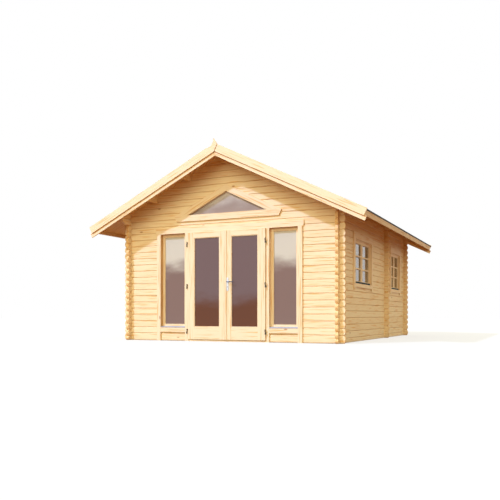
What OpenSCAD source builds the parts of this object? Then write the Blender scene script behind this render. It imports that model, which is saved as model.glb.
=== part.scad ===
// Garden house of planed logs with half-lapped corners, a glazed double door between two tall
// sidelights, a triangular gable window, two windows in the right wall and a purlin roof.
// The origin is the centre of the plan at ground level. The door side faces -Y, +Z is up.

/* [Logs] */
// Height of one log course
log_h = 114; // [108:1:120]
// Thickness of a log
log_t = 50; // [44:1:60]
// Length of a log end past the wall that it crosses
log_end = 95; // [80:1:140]
// Depth of the rounding at a log tip
tip_round = 23; // [10:1:35]
// Chamfer along a log, half of the groove between two courses
log_chamfer = 10; // [5:1:12]

/* [Plan] */
// Width of the house over the side walls
wall_w = 4080; // [3900:10:4400]
// Depth of the house over the front and back walls
wall_d = 5020; // [4950:10:5200]
// Distance from the back wall's outer face to the inner wall
inner_wall_at = 1890; // [1670:10:2070]
// Width of the plain doorway in the inner wall
inner_door_w = 800; // [700:10:900]

/* [Courses] */
// Extra height of the lowest logs, below the first course line
base_h = 18; // [5:1:30]
// Full courses in the front, back and inner walls below the eaves
wall_courses = 20; // [19:1:21]
// Courses beside the front doorway
door_courses = 17; // [16:1:18]
// Courses below a sidelight
sidelight_sill_courses = 2; // [1:1:3]
// Side-wall course on which the windows stand
window_sill_course = 8; // [7:1:9]
// Side-wall courses cut by a window
window_courses = 7; // [6:1:8]

/* [Roof] */
// Pitch of the roof in degrees
pitch = 26; // [22:0.5:30]
// Height of the eaves plate at the wall's outer face
plate_edge_h = 72; // [60:1:100]
// Reach of the eaves past the side walls
eaves_reach = 550; // [450:5:650]
// Reach of the roof past the front wall
front_reach = 450; // [380:5:560]
// Reach of the roof past the back wall
back_reach = 360; // [350:5:560]
// Thickness of the roof boards
roof_board_t = 19; // [16:1:28]
// Thickness of the roofing felt
felt_t = 4; // [3:0.5:6]
// Thickness of a bargeboard
barge_t = 22; // [18:1:28]
// Height of the upper bargeboard above the roof's underside
barge_rise = 37; // [30:1:50]
// Depth of the upper bargeboard below the roof's underside
barge_drop = 88; // [80:1:110]
// Bottom of the lower bargeboard below the roof's underside
lower_barge_drop = 151; // [135:1:180]
// Width of the lower bargeboard
lower_barge_w = 73; // [60:1:73]
// Length of the lower bargeboard past the upper one at the eaves
lower_barge_extra = 42; // [20:1:60]
// Height of the eaves board
fascia_h = 94; // [80:1:94]
// Thickness of the eaves board
fascia_t = 19; // [16:1:25]
// Height of the pointed horn above the bargeboards' ridge
horn_h = 79; // [60:1:100]
// Length of the horn's hollow curve along the bargeboard
horn_run = 155; // [120:5:200]
// Width of the horn past the ridge
horn_w = 55; // [40:1:70]
// Distance of the horn's point from the ridge
horn_lean = 15; // [5:1:30]
// Open joint between the horn and the right bargeboard
horn_gap = 4; // [2:0.5:6]

/* [Purlins] */
// Distance from the ridge to the inner face of the upper purlins
upper_purlin_at = 691; // [650:1:750]
// Distance from the ridge to the inner face of the lower purlins
lower_purlin_at = 1395; // [1330:1:1450]
// Width of a purlin
purlin_w = 60; // [50:1:90]
// Depth of a purlin below the roof boards
purlin_h = 120; // [90:1:140]
// Reach of the corbel log under an eaves plate
corbel_reach = 300; // [200:5:360]

/* [Front door] */
// Clear width between the door posts
doorway_w = 1524; // [1400:2:1600]
// Width of a door post
post_w = 55; // [45:1:70]
// Clear width of a sidelight
sidelight_w = 516; // [420:2:560]
// Thickness of a door leaf
leaf_t = 44; // [38:1:50]
// Reach of the leaves past the face of the casing boards
leaf_proud = 22; // [10:1:30]
// Width of a leaf's stile at the hinges
hinge_stile_w = 138; // [110:1:150]
// Width of a leaf's meeting stile
meeting_stile_w = 108; // [100:1:125]
// Height of a leaf's bottom rail
bottom_rail_h = 219; // [150:1:260]
// Height of a leaf's top rail
top_rail_h = 95; // [80:1:130]
// Gap round a door leaf
leaf_gap = 5; // [5:0.5:7]
// Width of the cover strip on the right leaf's meeting stile
cover_strip_w = 24; // [16:1:26]
// Thickness of a window or door pane
glass_t = 6; // [4:1:12]
// Thickness of the frame boards round the front opening
jamb_t = 28; // [22:1:34]
// Depth of the frames behind the wall's outer face
frame_depth = 90; // [80:1:100]
// Thickness of the casing boards
casing_t = 25; // [18:1:30]
// Width of the casing boards beside an opening
casing_w = 77; // [70:1:95]
// Height of the casing board over the front opening
head_casing_h = 99; // [85:1:115]
// Length of the head casing past the side casings
casing_ear = 25; // [10:1:35]
// Height of the sill boards under the sidelights
sill_board_h = 88; // [70:1:100]
// Thickness of the door sill strip
threshold_h = 28; // [20:1:34]
// Height of the stop bar behind the leaves' lower edge
bottom_stop_h = 52; // [46:1:60]
// Lap of the stops over the leaves' edges
stop_lap = 18; // [14:1:24]

/* [Door fittings] */
// Radius of a hinge knuckle
hinge_r = 6.5; // [5:0.5:7]
// Length of a whole hinge
hinge_len = 90; // [70:2:110]
// Thickness of a hinge arm
hinge_arm_t = 5; // [3:0.5:6]
// Height of the hinges above the ground, lower one
low_hinge_z = 175; // [150:5:260]
// Height of the hinges above the ground, middle one
mid_hinge_z = 970; // [870:5:1050]
// Height of the hinges above the ground, upper one
top_hinge_z = 1720; // [1600:5:1760]
// Width of a handle plate
plate_w = 38; // [32:1:44]
// Height of a handle plate
plate_h = 237; // [200:1:260]
// Thickness of a handle plate
plate_t = 8; // [6:1:10]
// Height of the lever's spindle
lever_z = 1036; // [960:1:1070]
// Length of the lever
lever_len = 115; // [95:1:130]
// Radius of the lever's grip
lever_r = 8; // [6:0.5:10]
// Distance from the handle plate to the lever's axis
lever_stand_off = 36; // [28:1:45]
// Radius of the spindle
spindle_r = 5; // [4:0.5:6]

/* [Gable window] */
// Width of the triangular pane at its base
gable_glass_w = 1530; // [1400:10:1600]
// Height of the pane's base above the course that it cuts into
gable_glass_lift = 59; // [40:1:70]
// Width of the casing boards round the gable window
gable_casing_w = 110; // [90:1:125]
// Width of the frame behind that casing
gable_frame_w = 35; // [25:1:50]

/* [Side windows] */
// Distance from the front wall's face to the larger window
window_a_at = 855; // [800:1:900]
// Width of the larger window's opening
window_a_w = 1113; // [1000:1:1180]
// Distance from the inner wall's face to the smaller window
window_b_at = 540; // [480:1:580]
// Width of the smaller window's opening
window_b_w = 855; // [780:1:900]
// Width of a window's frame
window_frame_w = 16; // [14:1:24]
// Height of a side window's sill
window_sill_h = 28; // [24:1:40]
// Distance from the casing's face to a side window's sashes
window_recess = 42; // [30:1:50]
// Width of a sash
sash_w = 44; // [38:1:55]
// Thickness of a sash
sash_t = 34; // [28:1:40]
// Distance from a side window's sash face to its panes
pane_set = 24; // [14:1:26]
// Distance from the casing's face to a sidelight's sash
sash_recess = 75; // [66:1:80]
// Height of the dark weather bar on a side window's lower rails
window_drip_h = 37; // [28:1:42]
// Thickness of that weather bar
window_drip_t = 12; // [8:1:15]
// Height of the casing board over a side window
window_head_h = 120; // [90:1:130]
// Reach of the side casings below a side window
window_foot = 80; // [60:1:110]
// Reach of the casing board under a side window
window_board_drop = 38; // [30:1:58]

/* [Floor] */
// Height of the floor bearers
bearer_h = 30; // [20:1:45]
// Width of the floor bearers
bearer_w = 70; // [50:1:90]
// Largest spacing of the floor bearers
bearer_pitch = 600; // [400:10:800]
// Thickness of the floor boards
floor_t = 20; // [16:1:28]

/* [Hidden] */
$fn = 48;

// Gap between seated pieces
fit = 0.3;
// Straight steps in a rounded log tip or a corbel
tip_steps = 6;
// Share of a course that is left where two logs cross
lap = log_h / 4;
// Overlap of a cutting tool past the piece that it cuts
past = 20;

half_w = wall_w / 2;
roof_half = (wall_d + front_reach + back_reach) / 2;
front_y = front_reach - roof_half;
back_y = front_y + wall_d;
side_c = half_w - log_t / 2;
front_c = front_y + log_t / 2;
back_c = back_y - log_t / 2;
inner_face = front_y + wall_d - inner_wall_at - log_t;
inner_c = inner_face + log_t / 2;
cross_y = [front_c, inner_c, back_c];
side_courses = wall_courses - 1;
plate_z = course_z(wall_courses - 0.5);
apex_z = plate_z + plate_edge_h + half_w * tan(pitch);
gable_courses = floor((apex_z - base_h) / log_h);

roof_end = roof_half - barge_t;
slope_len = (half_w + eaves_reach) / cos(pitch);
board_len = slope_len - fascia_t;
roof_fit = fit / cos(pitch);
purlin_end = roof_end - barge_t - fit;

door_half = doorway_w / 2;
light_in = door_half + post_w;
light_out = light_in + sidelight_w;
opening_half = light_out + jamb_t;
opening_top = course_z(door_courses);
head_z = opening_top - jamb_t;
light_z = course_z(sidelight_sill_courses);
leaf_w = door_half - 2 * leaf_gap;
leaf_z = threshold_h + leaf_gap;
leaf_h = head_z - leaf_gap - leaf_z;
leaf_front = front_y - casing_t - leaf_proud;
leaf_back = leaf_front + leaf_t;
stop_y = leaf_back + leaf_gap + fit;
frame_back = front_y + frame_depth;
sash_y = front_y - casing_t + sash_recess;
axis_x = door_half - leaf_gap / 2;
axis_y = leaf_front - leaf_gap - hinge_r;
hinge_zs = [low_hinge_z, mid_hinge_z, top_hinge_z];
// Gap round the spindle in the leaf
spindle_gap = 2;
// Distance from the cover strip to the handle plate
plate_gap = 2;
handle_x = leaf_gap + cover_strip_w + plate_gap + plate_w / 2;
drip_t = 3;
drip_rise = 16;

gable_half = gable_glass_w / 2;
gable_z = course_z(wall_courses - 1) + gable_glass_lift;
gable_top = gable_z + gable_half * tan(pitch);

window_z = course_z(window_sill_course + 0.5);
window_top = window_z + window_courses * log_h;
sash_low = window_z + window_sill_h + fit;
sash_high = window_top - window_frame_w - 2 * fit;
window_sash_y = window_recess - casing_t;
// Each window as its start and end along Y
windows = [
    [front_y + window_a_at, front_y + window_a_at + window_a_w],
    [inner_face + window_b_at, inner_face + window_b_at + window_b_w]
];
floor_z = bearer_h + fit;

// Height of the roof's underside at a distance from the ridge
function roof_z(x) = apex_z - abs(x) * tan(pitch);

// Point of the right slope: u runs down from the ridge, w stands square to the roof
function slope(u, w) = [u * cos(pitch) + w * sin(pitch), apex_z - u * sin(pitch) + w * cos(pitch)];

// Point of the right slope on the ridge line at a height w square to the roof
function ridge(w, x = fit / 2) = [x, apex_z + w / cos(pitch) - x * tan(pitch)];

// Height of a course line, n counted from the ground
function course_z(n) = base_h + n * log_h;

// Bottom and top of a course
function low_z(n) = n <= 0 ? 0 : course_z(n) + fit / 2;
function high_z(n) = course_z(n + 1) - fit / 2;

function reversed(list) = [for (i = [len(list) - 1 : -1 : 0]) list[i]];
function flat(lists) = [for (list = lists) for (point = list) point];

// Rounded log end at xe, pointing along dir, listed from bottom to top
function tip(xe, dir, z0, z1) = [
    for (i = [0 : tip_steps])
        let (k = 2 * i / tip_steps - 1)
        [xe - dir * tip_round * k * k, z0 + (z1 - z0) * i / tip_steps]
];

// Square log end at xe
function cut(xe, z0, z1) = [[xe, z0], [xe, z1]];

// Corbel end at xe whose underside sweeps up from the ordinary log end
function corbel(xe, dir, z0, z1) = concat(
    [
        for (i = [0 : tip_steps])
            let (k = i / tip_steps)
            [xe - dir * (corbel_reach - log_end) * (1 - k), z0 + (z1 - z0 - lap) * (1 - cos(90 * k))]
    ],
    [[xe, z1]]
);

// Two sides of a notch at c, z at its mouth and dz to its floor
function notch(c, z, dz) = [
    [c - log_t / 2 - fit, z],
    [c - log_t / 2 - fit, z + dz],
    [c + log_t / 2 + fit, z + dz],
    [c + log_t / 2 + fit, z]
];

// Chamfered section of a log between two heights
function section(z0, z1) = [
    [log_chamfer - log_t / 2, z0],
    [log_t / 2 - log_chamfer, z0],
    [log_t / 2, z0 + log_chamfer],
    [log_t / 2, z1 - log_chamfer],
    [log_t / 2 - log_chamfer, z1],
    [log_chamfer - log_t / 2, z1],
    [-log_t / 2, z1 - log_chamfer],
    [-log_t / 2, z0 + log_chamfer]
];

// Flat outline in X and Z, extruded along Y between two places
module slab(y0, y1, points) {
    translate([0, y1, 0])
        rotate([90, 0, 0])
            linear_extrude(y1 - y0)
                polygon(points);
}

// Outline in Y and Z, extruded along X between two places
module bar(x0, x1, points) {
    translate([x0, 0, 0])
        rotate([90, 0, 90])
            linear_extrude(x1 - x0)
                polygon(points);
}

// Box between two corners
module box(low, high) {
    translate(low)
        cube(high - low);
}

// Log along X: ends listed from bottom to top, half-lapped at each crossing
module log(end_a, end_b, z0, z1, crossings) {
    low_notches = z0 > 0 ? [for (c = crossings) notch(c, z0, lap - fit / 2)] : [];
    whole = z1 > course_z(0.75);
    ground_notches = z0 == 0 && whole ? [for (c = crossings) notch(c, 0, base_h + lap)] : [];
    high_notches = [for (c = crossings) notch(c, z1, fit / 2 - lap)];
    below = flat(concat(low_notches, ground_notches));
    above = reversed(flat(high_notches));
    reach = corbel_reach + past;
    intersection() {
        slab(-log_t / 2, log_t / 2, concat(below, end_b, above, reversed(end_a)));
        bar(end_a[0][0] - reach, end_b[0][0] + reach, section(z0, z1));
    }
}

// Space under the roof boards, in a wall that stands about Y = 0
module under_roof() {
    reach = half_w + log_end + past;
    slab(
        -log_t, log_t,
        [
            [-reach, 0],
            [reach, 0],
            [reach, roof_z(reach) - roof_fit],
            [0, apex_z - roof_fit],
            [-reach, roof_z(reach) - roof_fit]
        ]
    );
}

// Room for one purlin with its inner face at x, gap wider all round
module purlin_room(x, gap) {
    box(
        [x - gap, -log_t, roof_z(x) - purlin_h - gap],
        [x + purlin_w + gap, log_t, apex_z + past]
    );
}

// Room for all the purlins in a gable
module purlin_rooms() {
    for (x = [upper_purlin_at, lower_purlin_at]) {
        purlin_room(x, fit);
        mirror([1, 0, 0])
            purlin_room(x, fit);
    }
    purlin_room(-purlin_w / 2, fit);
}

// Triangle with the roof's pitch round the gable pane, grown by d
function gable_triangle(d) =
    let (half = gable_half + d / sin(pitch) + d / tan(pitch), z = gable_z - d)
    [[-half, z], [half, z], [0, z + half * tan(pitch)]];

// Full-width courses of a front or back wall
module wall_course(n) {
    log(
        tip(-half_w - log_end, -1, low_z(n), high_z(n)),
        tip(half_w + log_end, 1, low_z(n), high_z(n)),
        low_z(n), high_z(n), [-side_c, side_c]
    );
}

// Courses that stand between the eaves plates and under the roof
module gable_course(n) {
    reach = half_w - log_t - fit;
    log(
        cut(-reach, low_z(n), high_z(n)),
        cut(reach, low_z(n), high_z(n)),
        low_z(n), high_z(n), []
    );
}

// Courses from a first one up to the ridge, shaped to the roof and the purlins
module gable(first) {
    for (n = [first : wall_courses - 2])
        wall_course(n);
    intersection() {
        wall_course(wall_courses - 1);
        under_roof();
    }
    for (n = [wall_courses : gable_courses])
        difference() {
            intersection() {
                gable_course(n);
                under_roof();
            }
            purlin_rooms();
        }
}

// Front logs on the right, long below the sidelight and short beside it
module front_logs() {
    for (n = [0 : door_courses - 1]) {
        start = n < sidelight_sill_courses ? light_in + fit : opening_half;
        translate([0, front_c, 0])
            log(
                cut(start, low_z(n), high_z(n)),
                tip(half_w + log_end, 1, low_z(n), high_z(n)),
                low_z(n), high_z(n), [side_c]
            );
    }
}

// Log of a side wall from a start to an end along Y
module side_log(start, finish, z0, z1) {
    crossings = [for (y = cross_y) if (y > start[0][0] && y < finish[0][0]) y];
    rotate([0, 0, 90])
        log(start, finish, z0, z1, crossings);
}

// Side wall about X = 0, with gaps listed as starts and ends along Y
module side_wall(gaps) {
    near = front_y - log_end;
    far = back_y + log_end;
    // Half course on the ground
    side_log(tip(near, -1, 0, high_z(-0.5)), tip(far, 1, 0, high_z(-0.5)), 0, high_z(-0.5));
    for (n = [0 : side_courses - 1]) {
        z0 = low_z(n + 0.5);
        z1 = high_z(n + 0.5);
        broken = n >= window_sill_course && n < window_sill_course + window_courses;
        top = n == side_courses - 1;
        first = top ? corbel(front_y - corbel_reach, -1, z0, z1) : tip(near, -1, z0, z1);
        last = top ? corbel(back_y + corbel_reach, 1, z0, z1) : tip(far, 1, z0, z1);
        cuts = broken ? gaps : [];
        for (i = [0 : len(cuts)])
            side_log(
                i == 0 ? first : cut(cuts[i - 1][1], z0, z1),
                i == len(cuts) ? last : cut(cuts[i][0], z0, z1),
                z0, z1
            );
    }
}

// Flat ring in the plane of X and Z
module ring(low, high, width, y0, y1) {
    difference() {
        box([low[0], y0, low[1]], [high[0], y1, high[1]]);
        box([low[0] + width, y0 - 1, low[1] + width], [high[0] - width, y1 + 1, high[1] - width]);
    }
}

// Both sides of the front opening
module both_sides() {
    children();
    mirror([1, 0, 0])
        children();
}

// Wall frame of the right side: local X runs along the wall, local Y into the house from its face
module on_right_wall() {
    translate([half_w, 0, 0])
        rotate([0, 0, 90])
            children();
}

module front_left_logs() {
    color("burlywood")
        mirror([1, 0, 0])
            front_logs();
}

module front_right_logs() {
    color("burlywood")
        front_logs();
}

module front_gable_logs() {
    color("burlywood")
        difference() {
            translate([0, front_c, 0])
                gable(door_courses);
            slab(front_y - past, front_y + log_t + past, gable_triangle(gable_frame_w + fit));
        }
}

module left_wall_logs() {
    color("burlywood")
        translate([-side_c, 0, 0])
            side_wall([]);
}

module right_wall_logs() {
    color("burlywood")
        translate([side_c, 0, 0])
            side_wall(windows);
}

module inner_wall_logs() {
    color("burlywood")
        translate([0, inner_c, 0])
            for (n = [0 : wall_courses - 1])
                difference() {
                    intersection() {
                        wall_course(n);
                        under_roof();
                    }
                    if (n < door_courses)
                        box(
                            [-inner_door_w / 2, -log_t, -1],
                            [inner_door_w / 2, log_t, opening_top]
                        );
                }
}

module back_wall_logs() {
    color("burlywood")
        translate([0, back_c, 0])
            gable(0);
}

module floor_bearers() {
    color("tan") {
        span = wall_d - 2 * frame_depth - bearer_w;
        count = ceil(span / bearer_pitch);
        for (i = [0 : count]) {
            y = front_y + frame_depth + fit + i * span / count;
            // The bearers keep clear of the inner wall's lowest course
            clear = y + bearer_w < inner_face - fit || y > inner_face + log_t + fit;
            if (clear)
                box(
                    [log_t + fit - half_w, y, 0],
                    [half_w - log_t - fit, y + bearer_w, bearer_h]
                );
        }
    }
}

module front_room_floor() {
    color("tan")
        box(
            [log_t + fit - half_w, frame_back + fit, floor_z],
            [half_w - log_t - fit, inner_face - fit, floor_z + floor_t]
        );
}

module back_room_floor() {
    color("tan")
        box(
            [log_t + fit - half_w, inner_face + log_t + fit, floor_z],
            [half_w - log_t - fit, back_y - log_t - fit, floor_z + floor_t]
        );
}

module eaves_plates() {
    color("burlywood")
        both_sides()
            difference() {
                slab(
                    -purlin_end, purlin_end,
                    [
                        [half_w - log_t, plate_z + fit / 2],
                        [half_w, plate_z + fit / 2],
                        [half_w, roof_z(half_w) - roof_fit],
                        [half_w - log_t, roof_z(half_w - log_t) - roof_fit]
                    ]
                );
                for (y = cross_y)
                    box(
                        [half_w - log_t - 1, y - log_t / 2 - fit, plate_z - 1],
                        [half_w + 1, y + log_t / 2 + fit, plate_z + lap + fit / 2]
                    );
            }
}

module purlins() {
    color("peru")
        both_sides()
            for (x = [upper_purlin_at, lower_purlin_at])
                slab(
                    -purlin_end, purlin_end,
                    [
                        [x, roof_z(x) - purlin_h],
                        [x + purlin_w, roof_z(x) - purlin_h],
                        [x + purlin_w, roof_z(x + purlin_w) - roof_fit],
                        [x, roof_z(x) - roof_fit]
                    ]
                );
}

module ridge_purlin() {
    half = purlin_w / 2;
    color("peru")
        slab(
            -purlin_end, purlin_end,
            [
                [-half, roof_z(half) - purlin_h],
                [half, roof_z(half) - purlin_h],
                [half, roof_z(half) - roof_fit],
                [0, apex_z - roof_fit],
                [-half, roof_z(half) - roof_fit]
            ]
        );
}

// Boards of the right slope between two heights square to the roof
module roof_layer(w0, w1, length) {
    slab(-roof_end, roof_end, [ridge(w0), slope(length, w0), slope(length, w1), ridge(w1)]);
}

module left_roof_boards() {
    color("burlywood")
        mirror([1, 0, 0])
            roof_layer(0, roof_board_t, board_len);
}

module right_roof_boards() {
    color("burlywood")
        roof_layer(0, roof_board_t, board_len);
}

module left_felt() {
    color("dimgray")
        mirror([1, 0, 0])
            roof_layer(roof_board_t + fit, roof_board_t + felt_t, slope_len);
}

module right_felt() {
    color("dimgray")
        roof_layer(roof_board_t + fit, roof_board_t + felt_t, slope_len);
}

// Pair of upper bargeboards at the front: the left one passes the ridge and ends in a pointed horn
module upper_bargeboards() {
    crest = ridge(barge_rise, 0)[1];
    shoulder = ridge(barge_rise, horn_w);
    heel = ridge(-barge_drop, 0);
    open = horn_gap * [cos(pitch), -sin(pitch)];
    horn_tip = [-horn_lean, crest + horn_h];
    root = [-horn_run, ridge(barge_rise, horn_run)[1]];
    hollow = [
        for (i = [0 : tip_steps])
            let (k = i / tip_steps)
            [
                root[0] + (horn_tip[0] - root[0]) * sin(90 * k),
                root[1] + (horn_tip[1] - root[1]) * (1 - cos(90 * k))
            ]
    ];
    outer = slope(slope_len, barge_rise);
    inner = slope(slope_len, -barge_drop);
    slab(
        -roof_end - barge_t, -roof_end - fit,
        concat(
            [[-inner[0], inner[1]], heel, shoulder],
            reversed(hollow),
            [[-outer[0], outer[1]]]
        )
    );
    slab(
        -roof_end - barge_t, -roof_end - fit,
        [heel + open, inner, outer, shoulder + open]
    );
}

module front_bargeboards() {
    color("wheat")
        upper_bargeboards();
}

module back_bargeboards() {
    color("wheat")
        rotate([0, 0, 180])
            upper_bargeboards();
}

module lower_bargeboards() {
    top = lower_barge_w - lower_barge_drop;
    length = slope_len + lower_barge_extra;
    color("wheat")
        for (turn = [0, 180])
            rotate([0, 0, turn])
                both_sides()
                    slab(
                        -roof_end, barge_t - fit - roof_end,
                        [
                            ridge(-lower_barge_drop),
                            slope(length, -lower_barge_drop),
                            slope(length, top),
                            ridge(top)
                        ]
                    );
}

module eaves_boards() {
    low = roof_board_t - fascia_h;
    start = board_len + fit;
    color("wheat")
        both_sides()
            slab(
                -roof_end, roof_end,
                [
                    slope(start, low),
                    slope(slope_len, low),
                    slope(slope_len, roof_board_t),
                    slope(start, roof_board_t)
                ]
            );
}

module door_posts() {
    color("wheat")
        both_sides()
            box([door_half, front_y - casing_t, 0], [light_in, frame_back, head_z - fit]);
}

module front_jambs() {
    color("wheat") {
        both_sides()
            box([light_out, front_y, light_z + fit], [opening_half - fit, frame_back, head_z - fit]);
        box([fit - opening_half, front_y, head_z], [opening_half - fit, frame_back, opening_top - fit]);
    }
}

module door_stops() {
    color("wheat") {
        both_sides()
            box(
                [door_half - stop_lap, stop_y, bottom_stop_h + fit],
                [door_half - fit, frame_back, head_z - stop_lap - fit]
            );
        box([fit - door_half, stop_y, head_z - stop_lap], [door_half - fit, frame_back, head_z - fit]);
        box([fit - door_half, stop_y, 0], [door_half - fit, frame_back, bottom_stop_h]);
    }
}

module threshold() {
    color("burlywood")
        box([fit - door_half, front_y - casing_t, 0], [door_half - fit, stop_y - fit, threshold_h]);
}

module front_casing() {
    outer = light_out + casing_w;
    ear = outer + casing_ear;
    top = head_z + head_casing_h;
    color("wheat") {
        both_sides()
            box(
                [light_out, front_y - casing_t, 0],
                [outer, front_y - fit, head_z - fit]
            );
        slab(
            front_y - casing_t, front_y - fit,
            [
                [-outer, head_z],
                [outer, head_z],
                [ear, head_z + casing_ear],
                [ear, top],
                [-ear, top],
                [-ear, head_z + casing_ear]
            ]
        );
    }
}

module sidelight_sills() {
    color("wheat")
        both_sides()
            box(
                [light_in + fit, front_y - casing_t, light_z - sill_board_h],
                [light_out - fit, front_y - fit, light_z - fit]
            );
}

// Section of a metal drip strip in Y and Z, its back edge at y1
function drip(y0, y1, z) = [
    [y0, z],
    [y1, z + drip_rise],
    [y1, z + drip_rise + drip_t],
    [y0 - drip_t, z + drip_t],
    [y0 - drip_t, z - 2 * drip_t],
    [y0, z - 2 * drip_t]
];

module sidelight_drips() {
    color("lightsteelblue")
        both_sides()
            bar(
                light_in + fit, light_out - fit,
                drip(front_y - casing_t - fit, sash_y - fit, light_z)
            );
}

module sidelight_sashes() {
    color("wheat")
        both_sides()
            ring(
                [light_in + fit, light_z + fit], [light_out - fit, head_z - fit], sash_w,
                sash_y, sash_y + sash_t
            );
}

module sidelight_glass() {
    in = sash_w + 2 * fit;
    y = sash_y + (sash_t - glass_t) / 2;
    color("slategray", 0.6)
        both_sides()
            box(
                [light_in + in, y, light_z + in],
                [light_out - in, y + glass_t, head_z - in]
            );
}

// Right door leaf between its edges, glazed opening cut through
module leaf() {
    difference() {
        box(
            [leaf_gap, leaf_front, leaf_z],
            [leaf_gap + leaf_w, leaf_back, leaf_z + leaf_h]
        );
        box(
            [leaf_gap + meeting_stile_w, leaf_front - 1, leaf_z + bottom_rail_h],
            [leaf_gap + leaf_w - hinge_stile_w, leaf_back + 1, leaf_z + leaf_h - top_rail_h]
        );
    }
}

// Pane of the right door leaf
module leaf_glass() {
    y = (leaf_front + leaf_back - glass_t) / 2;
    box(
        [leaf_gap + meeting_stile_w + fit, y, leaf_z + bottom_rail_h + fit],
        [leaf_gap + leaf_w - hinge_stile_w - fit, y + glass_t, leaf_z + leaf_h - top_rail_h - fit]
    );
}

// Upper hinge knuckles of the right leaf, each with its arm and its bore
module leaf_hinges() {
    top = hinge_len / 2 - hinge_arm_t;
    for (z = hinge_zs)
        translate([axis_x, axis_y, z])
            difference() {
                union() {
                    cylinder(r = hinge_r, h = hinge_len / 2);
                    box(
                        [-leaf_gap - hinge_arm_t, -hinge_r / 2, hinge_arm_t],
                        [-leaf_gap, leaf_front - axis_y - fit, top]
                    );
                    box([-leaf_gap, -hinge_r / 2, hinge_arm_t], [0, hinge_r / 2, top]);
                }
                translate([0, 0, -1])
                    cylinder(r = hinge_r / 2 + fit, h = top + 2);
            }
}

module left_leaf() {
    color("wheat")
        mirror([1, 0, 0])
            leaf();
}

module left_glass() {
    color("slategray", 0.6)
        mirror([1, 0, 0])
            leaf_glass();
}

module left_hinges() {
    color("dimgray")
        mirror([1, 0, 0])
            leaf_hinges();
}

module right_leaf() {
    color("wheat")
        difference() {
            leaf();
            translate([handle_x, leaf_back + 1, lever_z])
                rotate([90, 0, 0])
                    cylinder(r = spindle_r + spindle_gap, h = leaf_t + 2);
        }
}

module right_glass() {
    color("slategray", 0.6)
        leaf_glass();
}

module right_hinges() {
    color("dimgray")
        leaf_hinges();
}

module cover_strip() {
    color("wheat")
        box(
            [leaf_gap, leaf_front - fit - casing_t / 2, leaf_z],
            [leaf_gap + cover_strip_w, leaf_front - fit, leaf_z + leaf_h]
        );
}

// Lower hinge knuckles on the posts, each with its pin
module frame_hinges() {
    top = hinge_len / 2 - hinge_arm_t;
    color("dimgray")
        both_sides()
            for (z = hinge_zs)
                translate([axis_x, axis_y, z - hinge_len / 2]) {
                    cylinder(r = hinge_r, h = hinge_len / 2 - fit);
                    cylinder(r = hinge_r / 2, h = hinge_len / 2 + top);
                    box(
                        [leaf_gap, -hinge_r / 2, hinge_arm_t],
                        [leaf_gap + hinge_arm_t, front_y - casing_t - axis_y - fit, top]
                    );
                    box([0, -hinge_r / 2, hinge_arm_t], [leaf_gap, hinge_r / 2, top]);
                }
}

// Round-ended handle plate lying in X and Z with its back at y = 0
module handle_plate() {
    drop = plate_h / 2 - plate_w / 2;
    difference() {
        union() {
            box([-plate_w / 2, -plate_t, -drop], [plate_w / 2, 0, drop]);
            for (z = [-drop, drop])
                translate([0, 0, z])
                    rotate([90, 0, 0])
                        cylinder(r = plate_w / 2, h = plate_t);
        }
        translate([0, 1, plate_h / 6])
            rotate([90, 0, 0])
                cylinder(r = spindle_r + fit, h = plate_t + 2);
    }
}

module handle_plates() {
    color("silver") {
        translate([handle_x, leaf_front - fit, lever_z - plate_h / 6])
            handle_plate();
        translate([handle_x, leaf_back + fit, lever_z - plate_h / 6])
            mirror([0, 1, 0])
                handle_plate();
    }
}

// Neck and grip of a lever outside a plate whose face is at y = 0
module lever_arm() {
    translate([0, -fit, 0])
        rotate([90, 0, 0])
            cylinder(r = lever_r, h = lever_stand_off - fit);
    translate([0, -lever_stand_off, 0]) {
        sphere(r = lever_r);
        rotate([0, 90, 0])
            cylinder(r = lever_r, h = lever_len - lever_r);
        translate([lever_len - lever_r, 0, 0])
            sphere(r = lever_r);
    }
}

module handle_lever() {
    outside = leaf_front - fit - plate_t;
    inside = leaf_back + fit + plate_t;
    color("silver")
        translate([handle_x, 0, lever_z]) {
            translate([0, inside + lever_r, 0])
                rotate([90, 0, 0])
                    cylinder(r = spindle_r, h = inside - outside + 2 * lever_r);
            translate([0, outside, 0])
                lever_arm();
            translate([0, inside, 0])
                mirror([0, 1, 0])
                    lever_arm();
        }
}

module gable_casing() {
    foot = gable_half + gable_casing_w / tan(pitch);
    outward = [gable_casing_w * sin(pitch), gable_casing_w * cos(pitch)];
    base = gable_z - gable_casing_w;
    color("wheat") {
        both_sides()
            slab(
                front_y - casing_t, front_y - fit,
                [
                    [foot, base],
                    [foot + outward[0], base + outward[1]],
                    [fit / 2, gable_top + gable_casing_w / cos(pitch)],
                    [fit / 2, gable_top]
                ]
            );
        slab(
            front_y - casing_t, front_y - fit,
            [
                [-foot + fit / sin(pitch), base],
                [foot - fit / sin(pitch), base],
                [gable_half - fit / sin(pitch), gable_z],
                [-gable_half + fit / sin(pitch), gable_z]
            ]
        );
    }
}

module gable_frame() {
    color("wheat")
        difference() {
            slab(front_y, frame_back, gable_triangle(gable_frame_w));
            slab(front_y - 1, frame_back + 1, gable_triangle(0));
        }
}

module gable_glass() {
    y = front_y + log_t / 2;
    color("slategray", 0.6)
        slab(y, y + glass_t, gable_triangle(-fit));
}

module window_casings() {
    low = window_z - window_foot;
    color("wheat")
        on_right_wall()
            for (w = windows) {
                ends = [w[0] - casing_w, w[1] + casing_w];
                box([ends[0], -casing_t, low], [w[0], -fit, window_top]);
                box([w[1], -casing_t, low], [ends[1], -fit, window_top]);
                box([ends[0], -casing_t, window_top + fit], [ends[1], -fit, window_top + window_head_h]);
                box(
                    [w[0] + fit, -casing_t, window_z - window_board_drop],
                    [w[1] - fit, -fit, window_z + window_sill_h]
                );
            }
}

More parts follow.
